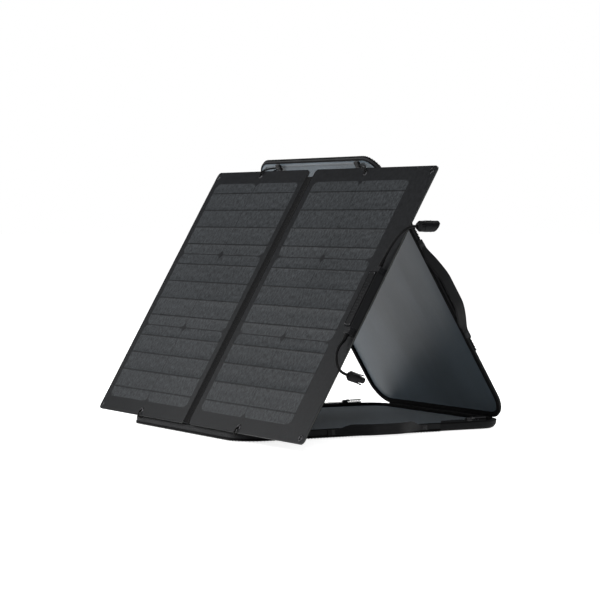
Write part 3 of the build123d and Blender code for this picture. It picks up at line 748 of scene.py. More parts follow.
# Plug: shoulder, round nose with a seal, and two springy latch arms.
plug_profile = [
    (2.3, 11.0), (8.2, 11.0), (8.6, 11.4), (8.6, 15.0), (8.0, 15.6), (8.0, 16.4), (8.6, 17.0),
    (8.6, 20.4), (8.1, 21.0), (5.6, 21.0), (5.6, 24.0), (6.1, 24.4), (6.1, 25.8), (5.6, 26.2),
    (5.5, 31.9), (4.9, 33.1), (3.9, 33.5), (3.4, 32.9), (3.4, 21.4), (2.3, 21.0), (2.3, 11.0),
]
plug_shell = lathe("plug_shell", plug_profile, lower_end, "connector", 64)
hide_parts("plug_body")
arms = []
for way in (-1, 1):
    arms.append(((0, way * 7.6, 25.0), (2.4, 0.8, 4.0), 0.0))
    arms.append(((0, way * 8.2, 28.2), (2.4, 0.9, 1.2), 0.0))
plug_arms = blocks("plug_latch_arms", arms, lower_end, "connector", 0.3)

connector_pieces = {
    "upper": [socket_nut, socket_grip, socket_ring], "lower": [plug_nut, plug_shell, plug_arms],
}
for pieces in connector_pieces.values():
    for piece in pieces:
        settle(piece, "panel_right", "connector_plastic")

BOX_LOW, BOX_HIGH, BOX_SHOULDER = 215.0, 319.0, 12.0
LEAD_X, LEAD_HEIGHT = lead_routes["upper"][0][0], lead_routes["upper"][0][2]
for side, start, way in (
    ("upper", BOX_HIGH + BOX_SHOULDER, 1), ("lower", BOX_LOW - BOX_SHOULDER, -1)
):
    along = Matrix(((1, 0, 0), (0, 0, way), (0, -way, 0))).to_4x4()
    along.translation = (LEAD_X, start, LEAD_HEIGHT)
    piece = boot(f"{side}_gland_boot", panel_frame @ along, 15.0, 4.3)
    settle(piece, "panel_right", "box_plastic")
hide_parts("cable_glands")

# --- Panel leaves ---


def grid_lines(edges, low, high, steps, extra):
    """Sorted grid lines: even steps, round corners, each raised edge and its chamfer."""
    lines = {low, high, *extra, *(low + (high - low) * k / steps for k in range(steps + 1))}
    for k in range(7):
        lines.update((low + k * 1.5, high - k * 1.5))
    for edge in edges:
        lines.update(edge + way * k for way in (-1, 1) for k in (0.35, 1.5, 3, 4.5, 6))
    return sorted(v for v in lines if low <= v <= high)


def leaf_cells(leaf):
    """Centres of a leaf's six cells."""
    middle = LEAF_CELLS_MIDDLE[leaf]
    return [
        (middle + (i - 0.5) * CELL_PITCH_X, CELLS_MIDDLE_Y + j * CELL_PITCH_Y)
        for i in (0, 1)
        for j in (-1, 0, 1)
    ]


def ribbon_rows():
    """Heights on the panel of every ribbon."""
    middle = (RIBBONS_PER_CELL - 1) / 2
    return [
        CELLS_MIDDLE_Y + j * CELL_PITCH_Y + (k - middle) * RIBBON_PITCH
        for j in (-1, 0, 1)
        for k in range(RIBBONS_PER_CELL)
    ]


def corner_pull(x, y, left, right):
    """Moves a grid point at a leaf's corner in to the leaf's round corner."""
    r = LEAF_CORNER
    cx = left + r if x < left + r else right - r if x > right - r else None
    cy = r if y < r else PANEL_HEIGHT - r if y > PANEL_HEIGHT - r else None
    if cx is None or cy is None:
        return x, y
    dx, dy = x - cx, y - cy
    reach = max(abs(dx), abs(dy))
    if reach == 0:
        return x, y
    away = math.hypot(dx, dy)
    return cx + dx * reach / away, cy + dy * reach / away


def leaf_sheet(name, leaf, low, high, look, relief, zone=None, fine=()):
    """Thin sheet over one leaf, with a relief on its outer face and holes left closed."""
    left, right = LEAF_SIDES[leaf]
    cells = leaf_cells(leaf)
    x_edges = {cx + s * CELL_WIDTH / 2 for cx, _ in cells for s in (-1, 1)}
    y_edges = {cy + s * CELL_HEIGHT / 2 for _, cy in cells for s in (-1, 1)}
    ribbons = [row + step for row in ribbon_rows() for step in (-1.7, -1.2, 1.2, 1.7)]
    xs = grid_lines(x_edges, left, right, 24, fine)
    ys = grid_lines(y_edges, 0.0, PANEL_HEIGHT, 30, ribbons)
    points, places, zones = [], [], []
    for y in ys:
        for x in xs:
            px, py = corner_pull(x, y, left, right)
            mask = zone(x, y, leaf) if zone else (0.0, 0.0, 0.0)
            edge = min(x - left, right - x, y, PANEL_HEIGHT - y)
            rise = relief(x, y, mask, edge)
            points.append((px, py, high + rise))
            places.append((px, py, 0.0))
            zones.append(mask)
    wide, tall = len(xs), len(ys)
    faces = [
        (j * wide + i, j * wide + i + 1, (j + 1) * wide + i + 1, (j + 1) * wide + i)
        for j in range(tall - 1)
        for i in range(wide - 1)
    ]
    rim = list(range(wide))
    rim += [j * wide + wide - 1 for j in range(1, tall)]
    rim += [(tall - 1) * wide + i for i in range(wide - 2, -1, -1)]
    rim += [j * wide for j in range(tall - 2, 0, -1)]
    start, count = len(points), len(rim)
    under = [(*points[index][:2], low) for index in rim]
    points += under
    places += under
    zones += [(0.0, 0.0, 0.0)] * count
    for k in range(count):
        m = (k + 1) % count
        faces.append((rim[k], start + k, start + m, rim[m]))
    faces.append(tuple(range(start, start + count)))
    return make_piece(name, points, faces, panel_frame, look, places, zones)


def film_zone(x, y, leaf):
    """How much a point is on a cell and on a ribbon, each 0 or 1."""
    cell = 0.0
    for cx, cy in leaf_cells(leaf):
        dx, dy = abs(x - cx), abs(y - cy)
        inside = dx < CELL_WIDTH / 2 and dy < CELL_HEIGHT / 2
        chamfer = CELL_WIDTH / 2 - dx + CELL_HEIGHT / 2 - dy
        if inside and chamfer > CELL_CORNER + 1.5:
            cell = 1.0
    middle = LEAF_CELLS_MIDDLE[leaf]
    near = min(abs(y - row) for row in ribbon_rows())
    across = abs(x - middle) < CELL_PITCH_X / 2 + CELL_WIDTH / 2 + 2
    return (cell, 1.0 if near < RIBBON_HALF_WIDTH and across else 0.0, 0.0)


def film_relief(x, y, mask, edge):
    """Cells stand a little proud, ribbons a little more, and the edge rolls over."""
    roll = -0.25 * max(0.0, 1 - edge / 1.5)
    slack = 0.12 * noise.noise(Vector((x, y, 3.0)) * 0.012)
    return 0.12 + 0.12 * mask[0] + 0.16 * mask[1] + roll + slack


def back_relief(x, y, mask, edge):
    """Back cloth: a turned hem at the edge and a soft unevenness inside it."""
    hem = 0.35 if edge < HEM else 0.0
    roll = 0.3 * max(0.0, 1 - edge / 1.5)
    return -hem - 0.25 * (1 + noise.noise(Vector((x, y, 9.0)) * 0.02)) + roll


for leaf in ("left", "right"):
    body = f"panel_{leaf}"
    face = leaf_sheet(f"{leaf}_film_face", leaf, -0.25, 0.0, "film", film_relief, film_zone)
    settle(face, body, "panel_film", f"{leaf}_film")
    left, right = LEAF_SIDES[leaf]
    hem_lines = [side + way * HEM for side, way in ((left, 1), (right, -1))]
    hem_lines = [line + step for line in hem_lines for step in (-0.4, 0.4)]
    cloth = leaf_sheet(
        f"{leaf}_back_cloth_face", leaf, -2.4, -3.0, "back", back_relief, fine=hem_lines
    )
    settle(cloth, body, "back_cloth", f"{leaf}_back_cloth")

# Fold seam: a soft strip that dips between two welded edges.
seam_rows, seam_places = [], []
SEAM_LEFT, SEAM_RIGHT = LEFT_LEAF_RIGHT + 0.2, RIGHT_LEAF_LEFT - 0.2
SEAM_BOTTOM, SEAM_TOP = 3.0, 522.0
SEAM_PROFILE = [
    (0.0, -0.1), (0.04, -0.1), (0.10, -0.5), (0.3, -0.85), (0.5, -1.05), (0.7, -0.85),
    (0.90, -0.5), (0.96, 0.15), (1.0, 0.15), (1.0, -1.6), (0.5, -1.8), (0.0, -1.6),
]
for k in range(61):
    y = SEAM_BOTTOM + (SEAM_TOP - SEAM_BOTTOM) * k / 60
    wobble = 0.15 * unevenness(y * 0.03, 1.0, 0.0)
    row = []
    for t, h in SEAM_PROFILE:
        x = SEAM_LEFT + (SEAM_RIGHT - SEAM_LEFT) * t
        row.append((x, y, h + (wobble if 0.1 < t < 0.9 else 0.0)))
        seam_places.append((x, y, 0.0))
    seam_rows.append(row)
seam = skin("fold_seam_cloth", seam_rows, panel_frame, "seam", seam_places)
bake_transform(seam)
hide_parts("fold_seam_strip")

EYELET_PROFILE = [
    (3.2, -3.4), (3.2, 0.2), (3.35, 0.65), (3.9, 0.95), (4.9, 0.95), (5.9, 0.6),
    (6.5, 0.15), (6.5, 0.0), (4.2, 0.0), (4.2, -3.0), (6.4, -3.05), (6.4, -3.3),
    (5.6, -3.7), (4.0, -3.8), (3.2, -3.4),
]
for leaf in ("left", "right"):
    for i, x in enumerate(EYELET_X[leaf]):
        for j, y in enumerate((EYELET_INSET, PANEL_HEIGHT - EYELET_INSET)):
            ring = lathe(
                f"{leaf}_eyelet_{i}{j}", EYELET_PROFILE,
                panel_frame @ Matrix.Translation((x, y, 0.3)), "eyelet", 40,
            )
            settle(ring, f"panel_{leaf}", "eyelet_metal")
    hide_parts(f"{leaf}_eyelets")

# --- Junction box ---


def rounded_slab(name, x0, x1, y0, y1, layers, matrix, look, radius=2.0):
    """Rounded slab from layers of (inset, height), bottom to top."""
    rows = []
    for inset, height in layers:
        r = max(radius - inset, 0.3)
        row = []
        for cx, cy, a in (
            (x1 - inset - r, y0 + inset + r, -90), (x1 - inset - r, y1 - inset - r, 0),
            (x0 + inset + r, y1 - inset - r, 90), (x0 + inset + r, y0 + inset + r, 180),
        ):
            row += [(*p, height) for p, _ in arc_points(cx, cy, r, a, a + 90, 6)]
        rows.append(row)
    return skin(name, rows, matrix, look)


BOX_LEFT, BOX_RIGHT, LID_LOW, LID_HIGH = 794.0, 815.0, 15.8, 18.8
BOX_MIDDLE = (BOX_LEFT + BOX_RIGHT) / 2
lid = rounded_slab(
    "junction_box_cover",
    BOX_LEFT,
    BOX_RIGHT,
    BOX_LOW,
    BOX_HIGH,
    [
        (0.3, LID_LOW), (0.0, LID_LOW + 0.4), (0.0, LID_HIGH - 1.0), (0.35, LID_HIGH - 0.3),
        (1.0, LID_HIGH), (2.2, LID_HIGH), (2.6, LID_HIGH - 0.5), (3.2, LID_HIGH - 0.5),
    ],
    panel_frame,
    "box",
    2.4,
)
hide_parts("junction_box_lid")
ribs = [
    ((BOX_MIDDLE, BOX_LOW + 22 + k * 6.0, LID_HIGH - 0.35), (6.4, 0.7, 0.35), 0.0)
    for k in range(11)
]
lid_ribs = blocks("junction_box_lid_ribs", ribs, panel_frame, "box", 0.2)
collars = []
for middle in (BOX_LOW - 6.0, BOX_HIGH + 6.0):
    for k in (-1, 0, 1):
        collars.append(((BOX_MIDDLE, middle + k * 3.6, 6.7), (8.9, 0.8, 6.7), 0.0))
collar_ribs = blocks("junction_box_collar_ribs", collars, panel_frame, "box", 0.35)
foot = rounded_slab(
    "junction_box_foot", BOX_LEFT - 1.5, BOX_RIGHT, BOX_LOW - BOX_SHOULDER - 1.5,
    BOX_HIGH + BOX_SHOULDER + 1.5, [(0.0, 0.1), (0.0, 1.4), (0.4, 1.9)], panel_frame, "box", 3.0,
)
for piece in (lid, lid_ribs, collar_ribs, foot):
    settle(piece, "panel_right", "box_plastic")

# --- Case halves ---


def inward_rows(path, levels, height_at, steps=9):
    """Rings from the case outline to its middle: offset rings first, then shrinking ones."""
    rows, places = [], []
    for inset, height in levels:
        row = []
        for (x, y), (nx, ny), _ in path:
            px, py = x - nx * inset, y - ny * inset
            row.append((px, py, height + height_at(px, py, inset)))
            places.append((px, py, 0.0))
        rows.append(row)
    last, height = levels[-1]
    middle = CASE_LENGTH / 2
    edge = [(x - nx * last, y - ny * last) for (x, y), (nx, ny), _ in path]
    for k in range(1, steps + 1):
        t = 1 - k / (steps + 0.4)
        row = []
        for ex, ey in edge:
            px, py = ex * t, middle + (ey - middle) * t
            row.append((px, py, height + height_at(px, py, last + 150 * (1 - t))))
            places.append((px, py, 0.0))
        rows.append(row)
    return rows, places


def cover_shell(half, matrix):
    """Padded cover: floor with a sewn border, soft round corner, wall and inner side."""
    path = half_path(14.0)
    depth, edge = CASE_DEPTH[half], CLOTH_EDGE[half]
    seed = 5.0 if half == "base" else 11.0

    def puff(x, y, inset):
        """How far the floor cloth stands off: crowned at the back, flat on the ground."""
        if inset < edge + 4:
            return 0.0
        ripple = unevenness(x * 0.013, y * 0.009, seed)
        if half == "base":
            return 0.15 * (1 + ripple)
        crown = min(1.0, (inset - edge - 4) / 60)
        return -1.8 * crown * (2 - crown) - 0.5 * ripple * crown

    floor_levels = []
    for k in range(1, 7):
        angle = math.radians(15 * k)
        height = edge - depth - edge * math.sin(angle) + 0.02
        floor_levels.append((edge * (1 - math.cos(angle)), height))
    groove = edge + 3.0
    floor_levels += [
        (groove - 0.7, -depth + 0.02), (groove, -depth + 0.45), (groove + 0.8, -depth + 0.45),
        (groove + 1.5, -depth + 0.02), (groove + 6.0, -depth), (groove + 16.0, -depth),
    ]
    rows, places = inward_rows(path, floor_levels, puff)
    rows.reverse()
    count = len(path)
    starts = range((len(rows) - 1) * count, -1, -count)
    places = [place for start in starts for place in places[start:start + count]]
    side = depth - edge - 1.2
    wall = [
        (-0.15, edge - depth + 0.25 * side), (-0.2, edge - depth + 0.6 * side),
        (-0.1, -1.3), (1.2, -1.25), (4.0, -1.25), (7.0, -1.3), (8.0, -2.0),
        (8.2, 1.6 - depth + 1.0), (8.3, 1.6 - depth),
    ]
    for inset, height in wall:
        row = []
        for (x, y), (nx, ny), run in path:
            sag = 0.25 * unevenness(run * 0.02, height * 0.1, seed)
            sag = sag if inset < 0 else 0.0
            row.append((x - nx * (inset + sag), y - ny * (inset + sag), height))
            places.append((run, height, 0.0))
        rows.append(row)
    cover = skin(f"{half}_cover_cloth", rows, matrix, "cover", places, smooth=60.0)
    settle(cover, half, "case_cloth", f"{half}_cover")


def stitches(name, path, inset, height, pitch, matrix, body, length=2.3):
    """Row of short raised stitches beside a case's edge."""
    boxes = []
    for (x, y), out, angle in along_path(path, pitch):
        centre = (x - out.x * inset, y - out.y * inset, height)
        boxes.append((centre, (0.28, length / 2, 0.2), angle))
    row = blocks(name, boxes, matrix, "thread", 0.0)
    settle(row, body, "rim_binding")


def lining_sheet(half, matrix):
    """Lining: sewn over the rim, down the wall and across the foam in long soft waves."""
    path = half_path(12.0)
    top = LINING_TOP[half]
    seed = 2.0 if half == "base" else 8.0

    def wave(x, y, inset):
        away = min(1.0, max(0.0, (inset - 12.0) / 30))
        long_fold = unevenness(x * 0.012, y * 0.004, seed)
        cross = unevenness(x * 0.006, y * 0.02, seed + 4)
        return away * (0.7 * long_fold + 0.35 * cross) + 0.35 * away

    drop = top + 0.9
    levels = [
        (2.4, -0.75), (3.2, -0.35), (4.6, -0.12), (6.4, -0.15), (7.8, -0.55), (8.5, -1.0),
        (8.9, -0.9 + 0.35 * drop), (9.3, -0.9 + 0.75 * drop), (10.2, top + 0.15),
        (12.0, top), (18.0, top), (26.0, top),
    ]
    rows, places = inward_rows(path, levels, wave, 14)
    points, faces = loft(rows)
    last = (len(rows) - 1) * len(path)
    faces.append(tuple(range(last, last + len(path))))
    sheet = make_piece(f"{half}_lining_cloth", points, faces, matrix, "lining", places, smooth=60.0)
    settle(sheet, half, "lining", f"{half}_lining")


BINDING_PROFILE = [
    (0.05, -2.6), (0.45, -1.6), (0.5, -0.6), (0.1, 0.05), (-0.8, 0.4), (-1.8, 0.4),
    (-2.8, 0.1), (-3.1, -0.4), (-2.8, -0.8), (-0.5, -0.9), (-0.2, -2.6),
]


def binding_sway(run, index, out, height):
    """The binding lies flat along the hinge edge, so that the case can close."""
    return out, min(height, 0.05) if run < HINGE_EDGE_RUN else height


def facing_profile(half):
    """Black facing sewn over a half's inner edge and down to its lining."""
    low = LINING_TOP[half]
    return [
        (-2.2, -0.3), (-3.5, 0.15), (-6.5, 0.15), (-8.3, -0.4), (-9.0, -1.2), (-9.6, low + 0.35),
        (-10.2, low + 0.35), (-9.3, -1.4), (-8.0, -0.9), (-2.4, -0.9),
    ]


def facing_path():
    """The half's outline from one side's free corner, round by the hinge, to the other."""
    path = half_path()
    beyond = [index for index, (point, _, _) in enumerate(path) if point[1] > FACING_END]
    ordered = path[beyond[-1] + 1:] + path[:beyond[0]]
    return with_runs([(point, out) for point, out, _ in ordered])


def gusset_profile(half):
    """Cross-section of the folded gusset, from the binding down to the zip tape."""
    low = GUSSET_LOW[half]
    return [
        (0.2, -1.0), (0.8, -0.9), (1.2, -2.0), (1.35, 0.5 * low - 0.6), (1.25, low + 1.2),
        (0.9, low - 0.1), (0.3, low),
    ]


def tape_profile(half):
    """Cross-section of the zip tape, a little outside the gusset's lower edge."""
    high, low = GUSSET_LOW[half] + 1.3, CHAIN_LOW[half]
    return [
        (0.9, high + 0.1), (1.55, high), (1.8, high - 0.8), (1.75, low + 1.2),
        (1.0, low + 0.8), (0.3, low + 1.2),
    ]


def gusset_sway(run, index, out, height):
    """The gusset cloth puffs and ripples between its two sewn edges."""
    if index not in (2, 3, 4):
        return out, height
    ripple = unevenness(run * 0.022, index * 0.7, 1.0)
    return out + 0.3 * ripple, height


def zip_teeth(name, path, matrix, body, out_by, low, high, pitch=3.2):
    """Zip teeth as small interlocked blocks along the edge of a tape."""
    boxes = []
    middle, half_height = (low + high) / 2, (high - low) / 2
    for index, ((x, y), out, angle) in enumerate(along_path(path, pitch)):
        step = 0.3 if index % 2 else -0.3
        boxes.append(
            ((x + out.x * out_by, y + out.y * out_by, middle + step),
             (0.75, pitch * 0.36, half_height - 0.3), angle)
        )
    row = blocks(name, boxes, matrix, "teeth", 0.18)
    settle(row, body, "zip_teeth")


def straight_path(x, start, end, steps=16):
    """Straight way along one side of a case half, in the form that band() takes."""
    heights = (start + (end - start) * k / steps for k in range(steps + 1))
    return with_runs([((x, height), (math.copysign(1, x), 0)) for height in heights])


for half, matrix in case_frames.items():
    cover_shell(half, matrix)
    lining_sheet(half, matrix)
    whole, open_path = half_path(12.0), half_path(10.0, GUSSET_START)
    binding = band(f"{half}_binding_tape", whole, BINDING_PROFILE, matrix, "binding", binding_sway)
    settle(binding, half, "rim_binding", f"{half}_rim_binding")
    away = half_path(12.0, BINDING_STITCH_START)
    stitches(f"{half}_binding_stitches", away, 2.3, 0.3, 4.0, matrix, half)
    facing = band(
        f"{half}_rim_facing", facing_path(), facing_profile(half), matrix, "facing", closed=False
    )
    settle(facing, half, "rim_binding")
    stitches(f"{half}_facing_stitches", facing_path(), 7.4, 0.05, 4.2, matrix, half)
    gusset = band(
        f"{half}_gusset_band", open_path, gusset_profile(half), matrix, "gusset", gusset_sway,
        closed=False,
    )
    settle(gusset, half, "gusset_cloth", f"{half}_gusset")
    tape = band(f"{half}_zip_tape", open_path, tape_profile(half), matrix, "tape", closed=False)
    settle(tape, half, "zip_teeth", f"{half}_zip_chain")
    teeth_low, teeth_high = CHAIN_LOW[half], GUSSET_LOW[half] + 0.2
    teeth_low += 0.0 if half == "base" else 0.2
    zip_teeth(f"{half}_zip_teeth_row", open_path, matrix, half, 2.1, teeth_low, teeth_high)
    stitches(f"{half}_gusset_stitches", open_path, -1.35, -2.9, 3.2, matrix, half, length=1.9)

# Standing stretches of the base's gusset and teeth, beside the hinge.
STRIP_PROFILE = [(-0.8, -0.4), (-0.8, 1.4), (-1.3, 2.1), (1.3, 2.1), (0.8, 1.4), (0.8, -0.4)]
base_matrix = case_frames["base"]
for side, x in (("left", TEETH_X), ("right", -TEETH_X)):
    path = straight_path(x, STANDING_START, STANDING_END)
    strip = band(
        f"{side}_standing_gusset", path, STRIP_PROFILE, base_matrix, "gusset", closed=False
    )
    settle(strip, "base", "gusset_cloth")
    zip_teeth(f"{side}_standing_teeth", path, base_matrix, "base", 0.0, 2.0, 4.3, 3.0)

# --- Hinge cloth ---


def hinge_point(half, s, z):
    """A case half's side point as Y and Z in mm, measured from the hinge line."""
    place = case_frames[half] @ Vector((0.0, s, z)) - Vector(hinge)
    return place.y / MM, place.z / MM


def hinge_cloth(name, outline, half_width):
    """Closed strip across the hinge, from (half, s, z) corners, shaped to the halves as they stand.
    """
    edge = [hinge_point(*corner) for corner in outline]
    rows, places = [], []
    for k in range(41):
        x = -half_width + 2 * half_width * k / 40
        dip = 0.15 * unevenness(x * 0.02, 3.0, 0.0)
        row = []
        for index, (y, z) in enumerate(edge):
            row.append((x, y + dip, z + dip))
            places.append((x, index * 3.0, 0.0))
        rows.append(row)
    level = Matrix.Translation(hinge) @ Matrix.Scale(MM, 4)
    cloth = skin(name, rows, level, "hinge", places, smooth=50.0)
    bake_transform(cloth)
    return cloth


outer_corners = [
    ("base", 0.5, -14.0), ("base", -0.1, -14.2), ("base", -0.5, -9.0), ("base", -0.6, -4.0),
    ("base", -0.6, -1.0), ("rear", -0.9, -1.2), ("rear", -0.6, -4.0), ("rear", -0.2, -7.6),
    ("rear", 0.5, -7.4), ("rear", 0.2, -3.0), ("base", 0.3, -1.0), ("base", 0.5, -6.0),
]
inner_corners = [
    ("base", 9.0, -0.2), ("base", 8.6, 0.5), ("base", 5.0, 0.8), ("base", 2.2, 1.5),
    ("rear", 2.2, 1.5), ("rear", 5.0, 0.8), ("rear", 8.6, 0.5), ("rear", 9.0, -0.2),
    ("rear", 4.5, 0.0), ("rear", 1.4, 0.2), ("base", 1.4, 0.2), ("base", 4.5, 0.0),
]
spine = hinge_cloth("hinge_outer_cloth", outer_corners, SPINE_HALF_WIDTH)
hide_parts("spine_band")
hinge_cloth("hinge_inner_cloth", inner_corners, SPINE_HALF_WIDTH + 4.0)

# --- Handles ---

PATCH_OUT, PATCH_THICK = CASE_HALF_WIDTH + 1.2, 1.8
STRAP_WIDTH, STRAP_THICK = 20.5, 3.2
STRAP_MIDDLE_Z = -2.0
STRAP_HALF_RUN, STRAP_STITCH_PITCH = 106.0, 4.4


DOME = [
    (2.2, 0.0), (2.3, 0.25), (2.0, 0.65), (1.3, 0.95), (0.5, 1.1), (0.02, 1.12),
    (0.02, -0.4), (2.2, -0.4), (2.2, 0.0),
]


def ease(t):
    """Smooth step from 0 to 1."""
    t = min(1.0, max(0.0, t))
    return t * t * (3 - 2 * t)


def side_frame(half, s, z):
    """Frame on a half's handle side: X along the case, Z outwards, origin on the patch."""
    way = HANDLE_SIDE[half]
    local = Matrix(((0, 0, way), (1, 0, 0), (0, way, 0))).to_4x4()
    local.translation = (way * PATCH_OUT, s, z)
    return case_frames[half] @ local


def strap_section(run, end_width, end_z):
    """Where the strap is beside the case, and how wide and thick, at a run from its middle."""
    away = abs(run)
    rest = PATCH_OUT + PATCH_THICK + 1.2
    out = rest + (HANDLE_REACH - rest) * ease((96.0 - away) / 74.0)
    taper = ease((HANDLE_ANCHOR + 2.0 - away) / 34.0)
    width = end_width + (STRAP_WIDTH - end_width) * taper
    thick = 2.0 + (STRAP_THICK - 2.0) * taper
    z = end_z + (STRAP_MIDDLE_Z - end_z) * taper
    return out, width, thick, z


def handle_strap(half, end_width, end_z):
    """Webbing strap with rounded edges, bowed out between its two sewn ends."""
    way = HANDLE_SIDE[half]
    steps = 72
    rows, places = [], []
    for i in range(steps + 1):
        run = STRAP_HALF_RUN * (2 * i / steps - 1)
        out, width, thick, z = strap_section(run, end_width, end_z)
        ahead = strap_section(run + 0.5, end_width, end_z)[0]
        behind = strap_section(run - 0.5, end_width, end_z)[0]
        normal = Vector((1.0, behind - ahead)).normalized()
        row = []
        for k in range(24):
            angle = 2 * math.pi * k / 24
            across = math.copysign(abs(math.cos(angle)) ** 0.35, math.cos(angle))
            through = math.copysign(abs(math.sin(angle)) ** 0.6, math.sin(angle))
            depth = through * thick / 2
            twist = 0.25 * unevenness(run * 0.03, across * 0.4, 6.0)
            twist *= ease((90 - abs(run)) / 30)
            x = way * (out + normal.x * depth + twist)
            row.append((x, HANDLE_MIDDLE + run + normal.y * depth, z + across * width / 2))
            places.append((across * width / 2, run, depth))
        rows.append(row)
    name = f"{half}_handle_webbing"
    strap = skin(name, rows, case_frames[half], "webbing", places, smooth=50.0)
    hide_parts(f"{half}_handle")
    boxes = []
    for edge in (-1, 1):
        for i in range(-18, 19):
            run = i * STRAP_STITCH_PITCH
            out, width, thick, z = strap_section(run, end_width, end_z)
            ahead = strap_section(run + 0.5, end_width, end_z)[0]
            slope = math.atan2(way * (ahead - out), 0.5)
            x = way * (out + thick / 2 + 0.05)
            centre = (x, HANDLE_MIDDLE + run, z + edge * (width / 2 - 2.2))
            boxes.append((centre, (0.22, 1.3, 0.3), -slope))
    seam = blocks(f"{half}_handle_stitches", boxes, case_frames[half], "thread", 0.0)
    for piece in (strap, seam):
        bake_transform(piece)


def handle_anchor(half, end, low, high, sleeve_z, sleeve_tall):
    """Sewn patch, the folded strap end on it, a box stitch and two rivets."""
    middle = HANDLE_MIDDLE + end * HANDLE_ANCHOR
    z = (low + high) / 2
    tall = (high - low) / 2
    place = side_frame(half, middle, z)
    shift = HANDLE_SIDE[half] * (sleeve_z - z)
    label = "near" if end < 0 else "far"
    sleeve_x = -2.0 - end * 1.5
    patch = rounded_slab(
        f"{half}_{label}_handle_patch", -15.0, 15.0, -tall, tall,
        [(0.2, -0.2), (0.0, 0.5), (0.2, 1.4), (0.9, 1.8)], place, "patch", 2.0,
    )
    sleeve = rounded_slab(
        f"{half}_{label}_strap_sleeve", sleeve_x - 11.0, sleeve_x + 11.0,
        shift - sleeve_tall, shift + sleeve_tall,
        [(0.4, 1.6), (0.0, 2.2), (0.0, 3.4), (0.3, 3.9), (1.2, 4.15)], place, "sleeve", 1.6,
    )
    reach, rise, top = 7.6, 0.7 * sleeve_tall, 4.15
    boxes = []
    for k in range(-3, 4):
        for edge in (-1, 1):
            row = (sleeve_x + k * 2.3, shift + edge * rise, top)
            boxes.append((row, (0.8, 0.25, 0.18), 0.0))
            cross = (sleeve_x + k * reach / 3.4, shift + edge * k * rise / 3.4, top)
            boxes.append((cross, (0.8, 0.22, 0.18), edge * math.atan2(rise, reach)))
    stitch = blocks(f"{half}_{label}_box_stitch", boxes, place, "thread", 0.0)
    rivets = []
    for k, along in enumerate((-10.0, 10.0)):
        high_by = 4.1 if abs(along - sleeve_x) < 9.0 else PATCH_THICK
        rivet = lathe(
            f"{half}_{label}_rivet_{k}", DOME, place @ Matrix.Translation((along, 0, high_by)),
            "rivet", 24,
        )
        rivets.append(rivet)
    for piece in (patch, sleeve, stitch, *rivets):
        settle(piece, half, "anchor_patch")
    return patch


# At each sewn end: the strap's width, its height over the rim and the sleeve's half height.
STRAP_ENDS = {"base": (9.0, -5.9, 4.6), "rear": (9.5, -4.4, 5.2)}
for half in ("base", "rear"):
    end_width, end_z, sleeve_tall = STRAP_ENDS[half]
    handle_strap(half, end_width, end_z)
    patches = [
        handle_anchor(half, end, GUSSET_LOW[half] + 0.3, -0.6, end_z, sleeve_tall)
        for end in (-1, 1)
    ]
    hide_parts(f"{half}_handle_anchors")

# --- Elastic loops and their tabs ---

for half, matrix in case_frames.items():
    for side, place in LOOP_TAB_X.items():
        x = place if half == "rear" else -place
        tab = rounded_slab(
            f"{half}_{side}_loop_tab", x - 8.0, x + 8.0, LOOP_TAB_START, LOOP_TAB_END,
            [(0.3, -0.4), (0.0, 0.2), (0.0, 2.6), (0.5, 3.7), (1.6, 4.3), (3.2, 4.5)],
            matrix, "webbing", 2.4,
        )
        seam = blocks(
            f"{half}_{side}_tab_stitches",
            [((x + k * 2.2, LOOP_TAB_START + y, 4.45), (0.75, 0.22, 0.2), 0.0)
             for k in range(-2, 3) for y in (3.6, 10.2)],
            matrix, "thread", 0.0,
        )
        settle(tab, half, "webbing")
        settle(seam, half, "webbing")
    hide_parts(f"{half}_loop_tabs")


def loop_route(half, side):
    """Route of one loop on the panel: over its edge, through the eyelet and back."""
    eyelet = EYELET_X[side][1] if side == "left" else EYELET_X[side][0]
    tab = (case_x - panel_left) / MM + LOOP_TAB_X[side]
    way = 1 if eyelet > tab else -1
    if half == "rear":
        top = PANEL_HEIGHT
        return [
            (tab + way * 9.2, top + 14.2, -12.5), (tab + way * 14.2, top + 14.0, -11.9),
            (eyelet - way * 13, top + 5.0, -0.5), (eyelet - way * 4, top - 1.5, 3.6),
            (eyelet, top - EYELET_INSET, 3.8), (eyelet, top - EYELET_INSET, -7.4),
            (eyelet - way * 8, top - 3.0, -8.6), (tab + way * 14.2, top + 12.0, -15.4),
            (tab + way * 9.2, top + 12.4, -15.9),
        ]
    return [
        (tab + way * 9.2, 11.0, -20.7), (tab + way * 14.2, 11.0, -19.7),
        (eyelet - way * 6, 10.8, -12.0), (eyelet, EYELET_INSET, -7.5), (eyelet, EYELET_INSET, 3.8),
        (eyelet - way * 2, -3.0, 3.6), (eyelet - way * 6, -4.2, -3.4),
        (eyelet - way * 9, 4.7, -8.3), (tab + way * 14.2, 8.8, -16.6),
        (tab + way * 9.2, 9.1, -17.4),
    ]


for half in ("base", "rear"):
    for side in ("left", "right"):
        route = loop_route(half, side)
        loop = tube_mesh(
            f"{half}_{side}_loop_cord", spline_line(route), 1.5, panel_frame, "elastic", 12
        )
        if half == "base":
            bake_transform(loop)
        else:
            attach(loop, "rear")
        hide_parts(f"{half}_{side}_loop")

# --- Zip sliders and pulls ---

